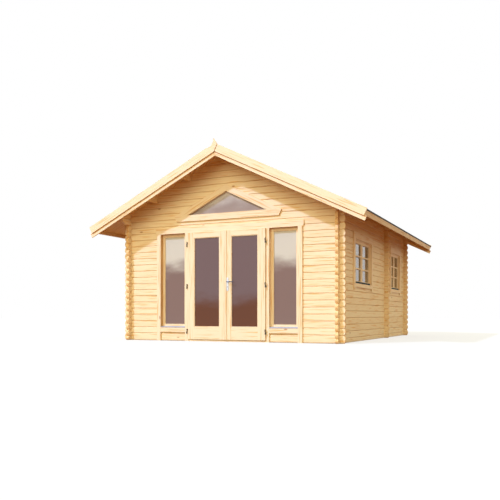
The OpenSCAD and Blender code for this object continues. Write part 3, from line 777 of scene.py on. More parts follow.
class Bench:
    """Operators that start, shape and finish a new piece.

    Attributes:
        smooth_angle: Angle in radians up to which two faces shade as one.
        round_steps: Facets across a rounded edge.
    """

    smooth_angle: float = math.radians(30)
    round_steps: int = 2

    @staticmethod
    def clear() -> None:
        """Leave object mode's selection empty."""
        bpy.ops.object.select_all(action="DESELECT")

    @staticmethod
    def only(obj: Piece) -> None:
        """Select one object and make it active.

        Args:
            obj: The object.
        """
        Bench.clear()
        obj.select_set(True)
        bpy.context.view_layer.objects.active = obj

    @staticmethod
    @contextmanager
    def edit(obj: Piece) -> Iterator[None]:
        """Hold one object in edit mode.

        Args:
            obj: The object on which the operators act.

        Yields:
            Nothing, while edit mode lasts.
        """
        Bench.only(obj)
        bpy.ops.object.mode_set(mode="EDIT")
        yield
        bpy.ops.object.mode_set(mode="OBJECT")

    @staticmethod
    def pick(obj: Piece, kind: Pick, test: Callable[[bpy.types.bpy_struct], bool]) -> None:
        """Select the vertices or faces that pass a test, and no others.

        Args:
            obj: The piece.
            kind: Which parts of its mesh are tested.
            test: Tells whether a vertex or face is selected.
        """
        with Bench.edit(obj):
            bpy.ops.mesh.select_mode(type=kind.value)
            bpy.ops.mesh.select_all(action="DESELECT")
        for part in obj.data.vertices if kind is Pick.VERTICES else obj.data.polygons:
            part.select = test(part)

    @staticmethod
    def scaled(name: str, scale: Vector) -> Piece:
        """Name and scale the primitive that was just added, with its place kept in its mesh.

        Args:
            name: Name of the object.
            scale: Its scale.

        Returns:
            The object.
        """
        obj = bpy.context.active_object
        obj.name = name
        obj.scale = scale
        bpy.ops.object.transform_apply(location=True, rotation=True, scale=True)
        return obj

    @staticmethod
    def block(name: str, low: Vector, high: Vector, edge: float, steps: int = 1) -> Piece:
        """Add a block between two corners with eased edges.

        Args:
            name: Name of the object.
            low: Lowest corner in metres.
            high: Highest corner in metres.
            edge: Width of the eased edges in metres.
            steps: Facets across an eased edge.

        Returns:
            The new object.
        """
        Bench.clear()
        bpy.ops.mesh.primitive_cube_add(size=1.0, location=(low + high) / 2)
        obj = Bench.scaled(name, high - low)
        with Bench.edit(obj):
            bpy.ops.mesh.select_all(action="SELECT")
            bpy.ops.mesh.bevel(offset=edge, segments=steps, affect="EDGES")
        return obj

    @staticmethod
    def ring(name: str, width: float, height: float, bar: float, depth: float, edge: float) -> Piece:
        """Add an upright rectangular ring about the origin, its back at Y = 0 and its face at -Y.

        Args:
            name: Name of the object.
            width: Outer width in metres.
            height: Outer height in metres.
            bar: Width of the ring's bars in metres.
            depth: Thickness in metres.
            edge: Width of the eased edges in metres.

        Returns:
            The new object.
        """
        Bench.clear()
        bpy.ops.mesh.primitive_plane_add(size=1.0, rotation=(math.pi / 2, 0.0, 0.0))
        obj = Bench.scaled(name, Vector((width, height, 1.0)))
        with Bench.edit(obj):
            bpy.ops.mesh.select_all(action="SELECT")
            bpy.ops.mesh.inset(thickness=bar, depth=0.0, use_even_offset=True)
            bpy.ops.mesh.delete(type="FACE")
        thick = obj.modifiers.new("thickness", "SOLIDIFY")
        thick.thickness = depth
        thick.offset = 1.0 if obj.data.polygons[0].normal.y < 0 else -1.0
        bpy.ops.object.modifier_apply(modifier=thick.name)
        eased = obj.modifiers.new("eased", "BEVEL")
        eased.width = edge
        eased.segments = Bench.round_steps
        eased.limit_method = "ANGLE"
        bpy.ops.object.modifier_apply(modifier=eased.name)
        return obj

    @staticmethod
    def row(obj: Piece, count: int, step: Vector) -> None:
        """Repeat a piece in a row.

        Args:
            obj: The piece that is repeated.
            count: Number of pieces in all.
            step: Step from one to the next in metres.
        """
        Bench.only(obj)
        many = obj.modifiers.new("row", "ARRAY")
        many.count = count
        many.use_relative_offset = False
        many.use_constant_offset = True
        many.constant_offset_displace = step
        bpy.ops.object.modifier_apply(modifier=many.name)

    @staticmethod
    def place(obj: Piece, spot: Vector, turn: Triple = (0.0, 0.0, 0.0)) -> None:
        """Turn and move a piece, with its place kept in its mesh.

        Args:
            obj: The piece.
            spot: Move in metres.
            turn: Euler angles in radians, applied before the move.
        """
        Bench.only(obj)
        obj.rotation_euler = turn
        obj.location = spot
        bpy.ops.object.transform_apply(location=True, rotation=True, scale=True)

    @staticmethod
    def join(pieces: list[Piece], name: str) -> Piece:
        """Join pieces into one.

        Args:
            pieces: The pieces, of which the first one stays.
            name: Name of the joined piece.

        Returns:
            The joined piece.
        """
        Bench.only(pieces[0])
        for piece in pieces[1:]:
            piece.select_set(True)
        bpy.ops.object.join()
        joined = bpy.context.active_object
        joined.name = name
        return joined

    @staticmethod
    def hand_over(obj: Piece, body: str, material: Material, slot: str) -> None:
        """Dress a finished piece and let it ride on a body.

        Args:
            obj: The piece.
            body: Name of the CAD body.
            material: Its material.
            slot: Not used; the material slot in the record.
        """
        with Bench.edit(obj):
            bpy.ops.mesh.select_all(action="SELECT")
            bpy.ops.mesh.normals_make_consistent(inside=False)
        bpy.ops.object.shade_smooth_by_angle(angle=Bench.smooth_angle)
        obj.data.materials.clear()
        obj.data.materials.append(material)
        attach(obj, body)
        LOG.info("%s on %s: %d faces", obj.name, body, len(obj.data.polygons))


@dataclass(frozen=True)
class HouseSizes:
    """Sizes that the scene shares with the part, in metres and radians."""

    log_h: float = 114 * MM
    base_h: float = 18 * MM
    pitch: float = math.radians(26)
    roof_board_t: float = 19 * MM
    felt_t: float = 4 * MM
    sash_w: float = 44 * MM
    window_a: tuple[float, float] = (-1610 * MM, -497 * MM)
    window_b: tuple[float, float] = (1155 * MM, 2010 * MM)
    window_frame_w: float = 16 * MM
    barge_w: float = 125 * MM
    horn_h: float = 79 * MM
    horn_w: float = 55 * MM
    fit: float = 0.3 * MM

    def casements(self) -> list[tuple[float, float]]:
        """List the panes of the side windows.

        Returns:
            Their starts and ends along Y.
        """
        edge = self.window_frame_w + self.sash_w + 2 * self.fit
        found = []
        for start, end in (self.window_a, self.window_b):
            middle = (start + end) / 2
            found.append((start + edge, middle - self.sash_w - 2 * self.fit))
            found.append((middle + self.sash_w + 2 * self.fit, end - edge))
        return found


SIZES = HouseSizes()


@dataclass
class Woodwork:
    """The spruce finishes and the CAD nodes that wear them.

    Attributes:
        trim_pale: Earlywood of the planed boards around doors and windows.
        trim_honey: Latewood of these boards.
        beam_pale: Earlywood of the beams, deepened as painted shade, as they see little sun.
        beam_honey: Latewood of the beams.
        jamb_pale: Earlywood of the jambs, deepened as painted shade of the recesses that they line.
        jamb_honey: Latewood of the jambs.
        end_tint: Tint of the logs' cut ends.
        log_groove_mm: Half width of the painted shade in the groove between two logs.
        horn_shade: Colour of the joint beside the horn.
        lap_shade: Colour of the painted shadow that the upper bargeboards cast on the lower ones.
        horn_seam_w: Width of the joint beside the horn, drawn wider than it is so that it shows.
        lap_shadow_w: Width of that painted shadow, drawn wider so that it shows.
        lap_drop: Distance of that shade's middle below the upper boards' edge.
        top: Height above the whole house, for a zone that has no upper bound.
    """

    trim_pale: str = "#F2D9B5"
    trim_honey: str = "#E0AE6C"
    beam_pale: str = "#EFCE9A"
    beam_honey: str = "#DCA458"
    jamb_pale: str = "#D2A05E"
    jamb_honey: str = "#B27636"
    end_tint: str = "#FAE6C6"
    log_groove_mm: float = 5.0
    horn_shade: str = "#A06428"
    lap_shade: str = "#C8863C"
    horn_seam_w: float = 20 * MM
    lap_shadow_w: float = 16 * MM
    lap_drop: float = 5 * MM
    top: float = 9.0

    @staticmethod
    def barge_heel() -> float:
        """Give the height of the joint beside the horn where it starts, on the boards' lower edges."""
        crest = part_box("front_bargeboards")[1].z - SIZES.horn_h
        return crest - SIZES.barge_w / math.cos(SIZES.pitch)

    def horn_seam(self) -> Seam:
        """Find the joint between the horn and the right bargeboard.

        Returns:
            The joint, which leans to the right on its way up.
        """
        rise = SIZES.barge_w / math.cos(SIZES.pitch) - SIZES.horn_w * math.tan(SIZES.pitch)
        length = math.hypot(SIZES.horn_w, rise)
        across = (rise / length, -SIZES.horn_w / length)
        return Seam(across, across[1] * self.barge_heel(), self.horn_seam_w / 2, False)

    def lap_painted_shadow(self) -> Seam:
        """Find the painted shadow under the upper bargeboards' lower edges.

        Returns:
            The painted shadow on the lower bargeboards of both slopes.
        """
        across = (math.sin(SIZES.pitch), math.cos(SIZES.pitch))
        return Seam(across, across[1] * self.barge_heel() - self.lap_drop, self.lap_shadow_w / 2, True)

    def log_finishes(self) -> list[tuple[PlanedSpruce, list[str]]]:
        """List the finishes of the logs and beams.

        Returns:
            Each finish with the nodes that wear it.
        """
        level_run, deep_run = GrainRun.ALONG_X, GrainRun.ALONG_Y
        rows = Courses(2, SIZES.base_h, SIZES.log_h)
        half_rows = Courses(2, SIZES.base_h - SIZES.log_h / 2, SIZES.log_h)
        logs = {"groove_mm": self.log_groove_mm, "end_tint": self.end_tint}
        # Logs planed on all sides: broad pale faces, each its own tone, with the groove's shade painted in
        # honey between them
        return [
            (
                PlanedSpruce("planed_spruce_logs_x", level_run, courses=rows, **logs),
                [
                    "front_left_logs", "front_right_logs", "front_gable_logs", "inner_wall_logs",
                    "back_wall_logs",
                ],
            ),
            (
                PlanedSpruce("planed_spruce_logs_y", deep_run, courses=half_rows, **logs),
                ["left_wall_logs", "right_wall_logs"],
            ),
            # Beams planed under the roof: the same figure in a warmer tone, deepened as painted shade
            (
                PlanedSpruce(
                    "planed_spruce_beams", deep_run, pale=self.beam_pale, honey=self.beam_honey,
                    end_tint=self.end_tint,
                ),
                ["eaves_plates", "purlins", "ridge_purlin"],
            ),
            # Bearers planed and left plain: pale, without joints
            (PlanedSpruce("planed_spruce_bearers", level_run), ["floor_bearers"]),
        ]

    def trim_finishes(self) -> dict[str, tuple[PlanedSpruce, list[str]]]:
        """List the finishes of the boards around doors, windows and roof.

        Returns:
            Each finish with the nodes that wear it, by a short name.
        """
        level_run, deep_run, up = GrainRun.ALONG_X, GrainRun.ALONG_Y, GrainRun.ALONG_Z
        pitch = SIZES.pitch
        leaf_low, leaf_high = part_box("right_glass")
        pane_low, pane_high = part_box("window_glass")
        light_low, light_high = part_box("sidelight_glass")
        over_door = CrossZone(2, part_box("door_posts")[1].z, self.top, level_run)
        under_gable = CrossZone(2, 0.0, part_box("gable_glass")[0].z, level_run)
        leaf_rails = CrossZone(0, leaf_low.x, leaf_high.x, level_run)
        light_stiles = CrossZone(2, light_low.z, light_high.z, up)
        window_stiles = CrossZone(2, pane_low.z, pane_high.z, up)
        trim = {"pale": self.trim_pale, "honey": self.trim_honey}
        jamb = {"pale": self.jamb_pale, "honey": self.jamb_honey}
        horn = {"seam": self.horn_seam(), "joint": self.horn_shade, **trim}
        # Painted shadow of the upper bargeboards on the lower ones
        lap = {"seam": self.lap_painted_shadow(), "joint": self.lap_shade, **trim}
        # Boards planed fine for trim: paler and calmer than the logs, their fibres along each board
        return {
            "posts": (PlanedSpruce("planed_spruce_posts", up, **trim), ["door_posts", "cover_strip"]),
            "frames": (
                PlanedSpruce("planed_spruce_frames", up, zone=over_door, **trim),
                ["door_stops", "front_casing"],
            ),
            # Jambs: the same boards in a deeper honey, painted shade of the recesses that they line
            "jambs": (PlanedSpruce("planed_spruce_jambs", up, zone=over_door, **jamb), ["front_jambs"]),
            "sills": (
                PlanedSpruce("planed_spruce_sills", level_run, **trim),
                ["sidelight_sills", "threshold"],
            ),
            "eaves": (PlanedSpruce("planed_spruce_eaves", deep_run, **trim), ["eaves_boards"]),
            "bargeboards": (
                PlanedSpruce("planed_spruce_bargeboards", level_run, slope=pitch, **horn),
                ["front_bargeboards", "back_bargeboards"],
            ),
            "lower_bargeboards": (
                PlanedSpruce("planed_spruce_lower_bargeboards", level_run, slope=pitch, **lap),
                ["lower_bargeboards"],
            ),
            "gable_boards": (
                PlanedSpruce(
                    "planed_spruce_gable_boards", level_run, slope=pitch, zone=under_gable, **trim
                ),
                ["gable_casing", "gable_frame"],
            ),
            "leaves": (
                PlanedSpruce("planed_spruce_leaves", up, zone=leaf_rails, **trim),
                ["left_leaf", "right_leaf"],
            ),
            "light_sashes": (
                PlanedSpruce("planed_spruce_sidelight_sashes", level_run, zone=light_stiles, **trim),
                ["sidelight_sashes"],
            ),
            "window_sashes": (
                PlanedSpruce("planed_spruce_window_sashes", deep_run, zone=window_stiles, **trim),
                ["window_sashes", "window_frames", "window_casings"],
            ),
        }

    def dress(self) -> dict[str, Material]:
        """Build the finishes and put them on their nodes.

        Returns:
            The trim's materials by short name.
        """
        for finish, nodes in self.log_finishes():
            paint(nodes, finish.material())
        made = {}
        for key, (finish, nodes) in self.trim_finishes().items():
            made[key] = finish.material()
            paint(nodes, made[key])
        return made


@dataclass
class Glazing:
    """Panes, glazing beads and window bars, with sizes in metres.

    Attributes:
        bead_w: Width of a bead on the doors and sidelights.
        bead_d: Thickness of a bead.
        bead_edge: Its eased edge.
        slim_w: Width of a bead on the side windows.
        slim_edge: Its eased edge.
        bar_w: Width of a window bar.
        bar_d: Thickness of a bar outside the pane.
        inner_d: Thickness of a bar inside the pane.
        bar_edge: Eased edge of a bar.
        rows: Panes above each other in a casement.
        slot: Material slot of beads and bars.
    """

    bead_w: float = 12 * MM
    bead_d: float = 12 * MM
    bead_edge: float = 4 * MM
    slim_w: float = 5 * MM
    slim_edge: float = 2 * MM
    bar_w: float = 24 * MM
    bar_d: float = 20 * MM
    inner_d: float = 4 * MM
    bar_edge: float = 1.5 * MM
    rows: int = 3
    slot: str = "trim_spruce"

    @staticmethod
    def panes() -> None:
        """Give the panes their glass."""
        # Painted pane colours: the door panes show a painted dim room and painted reflection, brown and
        # darker at the foot; the sidelight and gable panes show painted reflection of sky, milky at the head;
        # the side windows are nearly clear
        glasses = {
            ("left_glass", "right_glass"): PaneGlass(
                "float_glass_doors", "#6C3406", "#7B6060", z_low=0.55, z_high=0.85, clear=0.3, reflection_sway=0.35
            ),
            ("sidelight_glass",): PaneGlass(
                "float_glass_sidelights", "#886B62", "#DDD4C4", z_low=1.15, z_high=1.55, clear=0.2, reflection_sway=0.5
            ),
            ("gable_glass",): PaneGlass(
                "float_glass_gable", "#A6928A", "#DFD4CA", z_low=2.25, z_high=2.6, clear=0.2, reflection_sway=0.5
            ),
            ("window_glass",): PaneGlass(
                "float_glass_windows", "#B08E66", "#B89A74", z_low=1.0, z_high=1.8, clear=0.92, reflection_sway=0.2,
                coat=0.7,
            ),
        }
        for nodes, glass in glasses.items():
            paint(list(nodes), glass.material())

    def bead(self, name: str, low: Vector, high: Vector, body: str, wood: Material) -> None:
        """Lay a glazing bead in front of an upright pane that faces -Y.

        Args:
            name: Name of the bead.
            low: Lowest corner of the pane.
            high: Highest corner of the pane.
            body: Body that it rides on.
            wood: Its material.
        """
        ring = Bench.ring(name, high.x - low.x, high.z - low.z, self.bead_w, self.bead_d, self.bead_edge)
        middle = (low + high) / 2
        Bench.place(ring, Vector((middle.x, low.y - SLIP, middle.z)))
        Bench.hand_over(ring, body, wood, self.slot)

    def beads(self, wood: dict[str, Material]) -> None:
        """Lay the beads of the doors and sidelights.

        Args:
            wood: Materials by short name.
        """
        for side, body in (("left", LEFT_DOOR), ("right", RIGHT_DOOR)):
            self.bead(f"{side}_leaf_bead", *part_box(f"{side}_glass"), body, wood["leaves"])
        low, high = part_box("sidelight_glass")
        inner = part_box("door_posts")[1].x + SIZES.sash_w + 2 * SIZES.fit
        for side, start, end in (("left", low.x, -inner), ("right", inner, high.x)):
            self.bead(
                f"{side}_sidelight_bead", Vector((start, low.y, low.z)), Vector((end, high.y, high.z)),
                HOUSE, wood["light_sashes"],
            )

    def window_bars(self, wood: Material) -> None:
        """Divide each casement of the side windows by level bars inside and outside its pane.

        Args:
            wood: Their material.
        """
        low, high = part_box("window_glass")
        step = (high.z - low.z) / self.rows
        foot, head = low.z + step - self.bar_w / 2, low.z + step + self.bar_w / 2
        for number, (start, end) in enumerate(SIZES.casements(), 1):
            made = []
            for face, depth in ((high.x, self.bar_d), (low.x - self.inner_d, self.inner_d)):
                bar = Bench.block(
                    "bar", Vector((face + SLIP, start, foot)), Vector((face + depth - SLIP, end, head)),
                    self.bar_edge, Bench.round_steps,
                )
                Bench.row(bar, self.rows - 1, Vector((0.0, 0.0, step)))
                made.append(bar)
            Bench.hand_over(Bench.join(made, f"window_bars_{number}"), HOUSE, wood, self.slot)
            ring = Bench.ring(
                f"window_bead_{number}", end - start, high.z - low.z, self.slim_w, self.bead_d, self.slim_edge
            )
            middle = Vector((high.x + SLIP, (start + end) / 2, (low.z + high.z) / 2))
            Bench.place(ring, middle, (0.0, 0.0, math.pi / 2))
            Bench.hand_over(ring, HOUSE, wood, self.slot)


@dataclass
class RoofCovering:
    """Roof boards with their joints, felt laps and the ridge strip, with sizes in metres.

    Attributes:
        board_w: Wished width of a board.
        groove: Eased edge of a board, which makes the groove between two.
        board_pale: Earlywood of the boards, deepened as painted shade of the underside, which sees no sun.
        board_honey: Latewood of the boards.
        groove_mm: Half width of the shade in a groove, in millimetres.
        felt_step: Distance between the lower edges of two felt strips.
        laps: Laps on each slope.
        lap_len: Length of a strip's end that is laid over the next strip.
        lap_t: Thickness of the felt.
        lap_edge: Eased edge of a lap.
        lap_lift: Gap under a lap.
        thin_t: How much of a lap's thickness is left uphill.
        ridge_len: Reach of the ridge strip down each slope.
        ridge_lap: Reach of the ridge strip past the ridge, before it is cut there.
        fold_h: Height of the felt's fold over the eaves board.
        fold_gap: Gap between the fold and the eaves board.
        fold_lip: Height of the fold above the felt.
        felt_edge: Eased edge of the ridge strip and the fold.
        pick_reach: How near a vertex lies to a lap's uphill edge to belong to it.
    """

    board_w: float = 95 * MM
    groove: float = 3 * MM
    board_pale: str = "#F0CB92"
    board_honey: str = "#DCA052"
    groove_mm: float = 4.0
    felt_step: float = 930 * MM
    laps: int = 2
    lap_len: float = 260 * MM
    lap_t: float = 4 * MM
    lap_edge: float = 0.8 * MM
    lap_lift: float = 0.1 * MM
    thin_t: float = 1.2 * MM
    ridge_len: float = 240 * MM
    ridge_lap: float = 30 * MM
    fold_h: float = 22 * MM
    fold_gap: float = 0.6 * MM
    fold_lip: float = 0.5 * MM
    felt_edge: float = 1 * MM
    pick_reach: float = 5 * MM

    def boards(self) -> None:
        """Lay the boards of both slopes."""
        low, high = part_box("right_roof_boards")
        cos, sin = math.cos(SIZES.pitch), math.sin(SIZES.pitch)
        thick = SIZES.roof_board_t
        crest = high.z - thick / cos
        length = (high.x - thick * sin) / cos
        rows = Courses.between(1, low, high, self.board_w)
        count = round((high.y - low.y) / rows.pitch)
        # Boards planed on the face that shows below, in a warm tone deepened as painted shade, with a groove
        # at each joint
        wood = PlanedSpruce(
            "planed_spruce_roof_boards", GrainRun.ALONG_X, pale=self.board_pale, honey=self.board_honey,
            slope=SIZES.pitch, courses=rows, groove_mm=self.groove_mm,
        ).material()
        for side, sign in SIDES:
            start, end = sorted((sign * SLIP, sign * length))
            board = Bench.block(
                f"{side}_boarding", Vector((start, low.y, 0.0)),
                Vector((end, low.y + rows.pitch - SLIP, thick)), self.groove,
            )
            Bench.row(board, count, Vector((0.0, rows.pitch, 0.0)))
            Bench.place(board, Vector((0.0, 0.0, crest)), (0.0, sign * SIZES.pitch, 0.0))
            Bench.hand_over(board, HOUSE, wood, "board_spruce")
            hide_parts(f"{side}_roof_boards")

    def felt(self, material: Material) -> None:
        """Lay the laps of the felt strips, the strip over the ridge and the fold at the eaves.

        Args:
            material: Their material.
        """
        low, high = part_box("right_felt")
        cos, sin = math.cos(SIZES.pitch), math.sin(SIZES.pitch)
        rise = SIZES.roof_board_t + SIZES.felt_t
        crest = high.z - rise / cos
        length = (high.x - rise * sin) / cos
        for side, sign in SIDES:
            made = [
                self.wedge(sign, length - number * self.felt_step, low.y, high.y, rise)
                for number in range(1, self.laps + 1)
            ]
            near, far = sorted((-sign * self.ridge_lap, sign * self.ridge_len))
            made.append(
                Bench.block(
                    "cap", Vector((near, low.y, rise)), Vector((far, high.y, rise + self.lap_t)),
                    self.felt_edge,
                )
            )
            near, far = sorted((sign * (length + self.fold_gap), sign * (length + self.lap_t)))
            made.append(
                Bench.block(
                    "fold", Vector((near, low.y, rise - self.fold_h)),
                    Vector((far, high.y, rise + self.fold_lip)), self.felt_edge,
                )
            )
            sheet = Bench.join(made, f"{side}_felt_laps")
            Bench.place(sheet, Vector((0.0, 0.0, crest)), (0.0, sign * SIZES.pitch, 0.0))
            with Bench.edit(sheet):
                bpy.ops.mesh.select_all(action="SELECT")
                bpy.ops.mesh.bisect(
                    plane_co=(0.0, 0.0, 0.0), plane_no=(-sign, 0.0, 0.0), use_fill=True, clear_outer=True
                )
            Bench.hand_over(sheet, HOUSE, material, "felt")

    def wedge(self, sign: int, down: float, start: float, end: float, rise: float) -> Piece:
        """Shape the end of an upper felt strip, which thins out uphill where it lies on the boards.

        Args:
            sign: 1 for the right slope and -1 for the left one.
            down: Distance of the strip's lower edge from the ridge.
            start: Start along Y.
            end: End along Y.
            rise: Height of the lower strip's face above the boards' underside.

        Returns:
            The lap.
        """
        uphill = sign * (down - self.lap_len)
        near, far = sorted((uphill, sign * down))
        lap = Bench.block(
            "lap", Vector((near, start, rise + self.lap_lift)), Vector((far, end, rise + self.lap_t)),
            self.lap_edge,
        )
        middle = rise + self.lap_t / 2
        Bench.pick(
            lap, Pick.VERTICES, lambda v: abs(v.co.x - uphill) < self.pick_reach and v.co.z > middle
        )
        with Bench.edit(lap):
            bpy.ops.transform.translate(value=(0.0, 0.0, self.thin_t - self.lap_t))
        return lap


@dataclass
class Flooring:
    """Floor boards of the two rooms, with sizes in metres.

    Attributes:
        board_w: Wished width of a board.
        edge: Eased edge of a board.
        groove_mm: Half width of the shade in a joint, in millimetres.
    """

    board_w: float = 95 * MM
    edge: float = 1.5 * MM
    groove_mm: float = 3.0

    def lay(self) -> None:
        """Lay the boards in both rooms."""
        low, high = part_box("front_room_floor")
        rows = Courses.between(0, low, high, self.board_w)
        count = round((high.x - low.x) / rows.pitch)
        # Boards planed and laid edge to edge: pale strips, each its own tone, with fine dark joints
        wood = PlanedSpruce(
            "planed_spruce_floor_boards", GrainRun.ALONG_Y, courses=rows, groove_mm=self.groove_mm
        ).material()
        for room in ("front_room", "back_room"):
            low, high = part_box(f"{room}_floor")
            corner = Vector((low.x + rows.pitch - SLIP, high.y, high.z))
            board = Bench.block(f"{room}_boards", low.copy(), corner, self.edge)
            Bench.row(board, count, Vector((rows.pitch, 0.0, 0.0)))
            Bench.hand_over(board, HOUSE, wood, "board_spruce")
            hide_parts(f"{room}_floor")


@dataclass
class Fittings:
    """Metal of the doors and windows, with sizes in metres.

    Attributes:
        facets: Facets around a screw head or keyhole.
        screw_r: Radius of a screw head.
        screw_h: Height of a screw head.
        dish: Depth and width of the head's rounded rim, as a share of its height and radius.
        land: Width of the flat around the recess, as a share of the radius.
        recess: Depth of the recess, as a share of the height.
        screw_inset: Distance of a screw from the plate's end.
        key_r: Radius of a keyhole's round part.
        key_len: Length of its slot.
        key_t: Thickness of the dark plug that stands in for the hole: painted shade.
        key_lift: Distance of the plug's middle from the plate's face.
        key_rise: Height of the keyhole above the plate's foot.
        facing: Part of a normal from which a face looks in that direction.
    """

    facets: int = 16
    screw_r: float = 3.6 * MM
    screw_h: float = 1.2 * MM
    dish: float = 0.3
    land: float = 0.25
    recess: float = 0.7
    screw_inset: float = 14 * MM
    key_r: float = 4.2 * MM
    key_len: float = 10 * MM
    key_t: float = 0.6 * MM
    key_lift: float = 0.1 * MM
    key_rise: float = 75 * MM
    facing: float = 0.8

    @staticmethod
    def dress() -> dict[str, Material]:
        """Give the metal nodes their finishes.

        Returns:
            The materials by short name.
        """
        finishes = {
            # Aluminium brushed to satin: a soft bright sheen
            "satin": (Metal("satin_aluminium", "#C6C6CC", "#DCDCE2", 1.0, 0.26), ["handle_plates"]),
            # Steel polished: a mirror with bright edges, whose near-black colour is painted reflection of
            # dark surroundings
            "lever": (Metal("polished_steel", "#2C2C2E", "#404044", 1.0, 0.18), ["handle_lever"]),
            # Aluminium sheet under a grey coat: even, with a dull shine
            "drip": (Metal("coated_aluminium", "#9C9CAE", "#B4B4C2", 0.0, 0.35), ["sidelight_drips"]),
            # Aluminium sheet under a matt coat: a dark line with hardly any shine
            "dark_drip": (
                Metal("coated_dark_aluminium", "#001620", "#08242E", 0.0, 0.6, gloss=0.15),
                ["window_drips"],
            ),
            # Steel blackened in oil: brownish black, lighter where it is rubbed
            "hinge": (
                Metal("blackened_steel", "#4A443D", "#6A6258", 1.0, 0.42),
                ["left_hinges", "right_hinges", "frame_hinges"],
            ),
        }
        made = {}
        for key, (finish, nodes) in finishes.items():
            made[key] = finish.material()
            paint(nodes, made[key])
        return made

    def disc(self, name: str, radius: float, depth: float) -> Piece:
        """Add a short cylinder about the origin.

        Args:
            name: Name of the object.
            radius: Its radius in metres.
            depth: Its height in metres.

        Returns:
            The new object.
        """
        Bench.clear()
        bpy.ops.mesh.primitive_cylinder_add(vertices=self.facets, radius=radius, depth=depth)
        obj = bpy.context.active_object
        obj.name = name
        return obj

    def screw(self, spot: Vector, out: float) -> Piece:
        """Make a countersunk screw head with a recess.

        Args:
            spot: Middle of its seat.
            out: -1 where it faces -Y and 1 where it faces +Y.

        Returns:
            The screw head.
        """
        head = self.disc("screw", self.screw_r, self.screw_h)
        Bench.pick(head, Pick.FACES, lambda face: face.normal.z > self.facing)
        with Bench.edit(head):
            bpy.ops.mesh.inset(thickness=self.screw_r * self.dish, depth=self.screw_h * self.dish)
            bpy.ops.mesh.inset(thickness=self.screw_r * self.land, depth=0.0)
            bpy.ops.mesh.extrude_region_move(
                TRANSFORM_OT_translate={"value": (0.0, 0.0, -self.screw_h * self.recess)}
            )
        seat = spot + Vector((0.0, out * self.screw_h / 2, 0.0))
        Bench.place(head, seat, (-out * math.pi / 2, 0.0, 0.0))
        return head

    def keyhole(self, spot: Vector) -> Piece:
        """Make the dark plug that stands in for a keyhole, as painted shade of the hole.

        Args:
            spot: Middle of the round part on the plate's face.

        Returns:
            The plug.
        """
        plug = self.disc("key", self.key_r, self.key_t)
        Bench.pick(plug, Pick.FACES, lambda face: face.normal.y < -self.facing)
        with Bench.edit(plug):
            bpy.ops.mesh.extrude_region_move(TRANSFORM_OT_translate={"value": (0.0, -self.key_len, 0.0)})
        Bench.place(plug, spot, (math.pi / 2, 0.0, 0.0))
        return plug

    def plate_details(self, made: dict[str, Material]) -> None:
        """Put the screws and the keyholes on the handle plates.

        Args:
            made: Materials by short name.
        """
        low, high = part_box("handle_plates")
        middle = (low.x + high.x) / 2
        screws = []
        keys = []
        for face, out in ((low.y, -1.0), (high.y, 1.0)):
            for z in (low.z + self.screw_inset, high.z - self.screw_inset):
                screws.append(self.screw(Vector((middle, face, z)), out))
            # Each keyhole is a dark plug on the plate's face: painted shade of the hole
            keys.append(self.keyhole(Vector((middle, face + out * self.key_lift, low.z + self.key_rise))))
        Bench.hand_over(Bench.join(screws, "plate_screws"), RIGHT_DOOR, made["satin"], "satin_metal")
        Bench.hand_over(Bench.join(keys, "keyholes"), RIGHT_DOOR, made["hinge"], "dark_steel")


@dataclass(frozen=True)
class Lamp:
    """Lamp of parallel light.

    Attributes:
        name: Its name.
        way: Direction in which its light travels.
        strength: Its strength.
        colour: Its linear colour.
        angle: Width of its disc in degrees, which softens the shadows.
    """

    name: str
    way: Triple
    strength: float
    colour: Triple
    angle: float

    def hang(self) -> None:
        """Hang the lamp in the scene."""
        data = bpy.data.lights.new(self.name, "SUN")
        data.energy = self.strength
        data.color = self.colour
        data.angle = math.radians(self.angle)
        obj = bpy.data.objects.new(self.name, data)
        obj.rotation_euler = Vector(self.way).to_track_quat("-Z", "Y").to_euler()
        bpy.context.scene.collection.objects.link(obj)


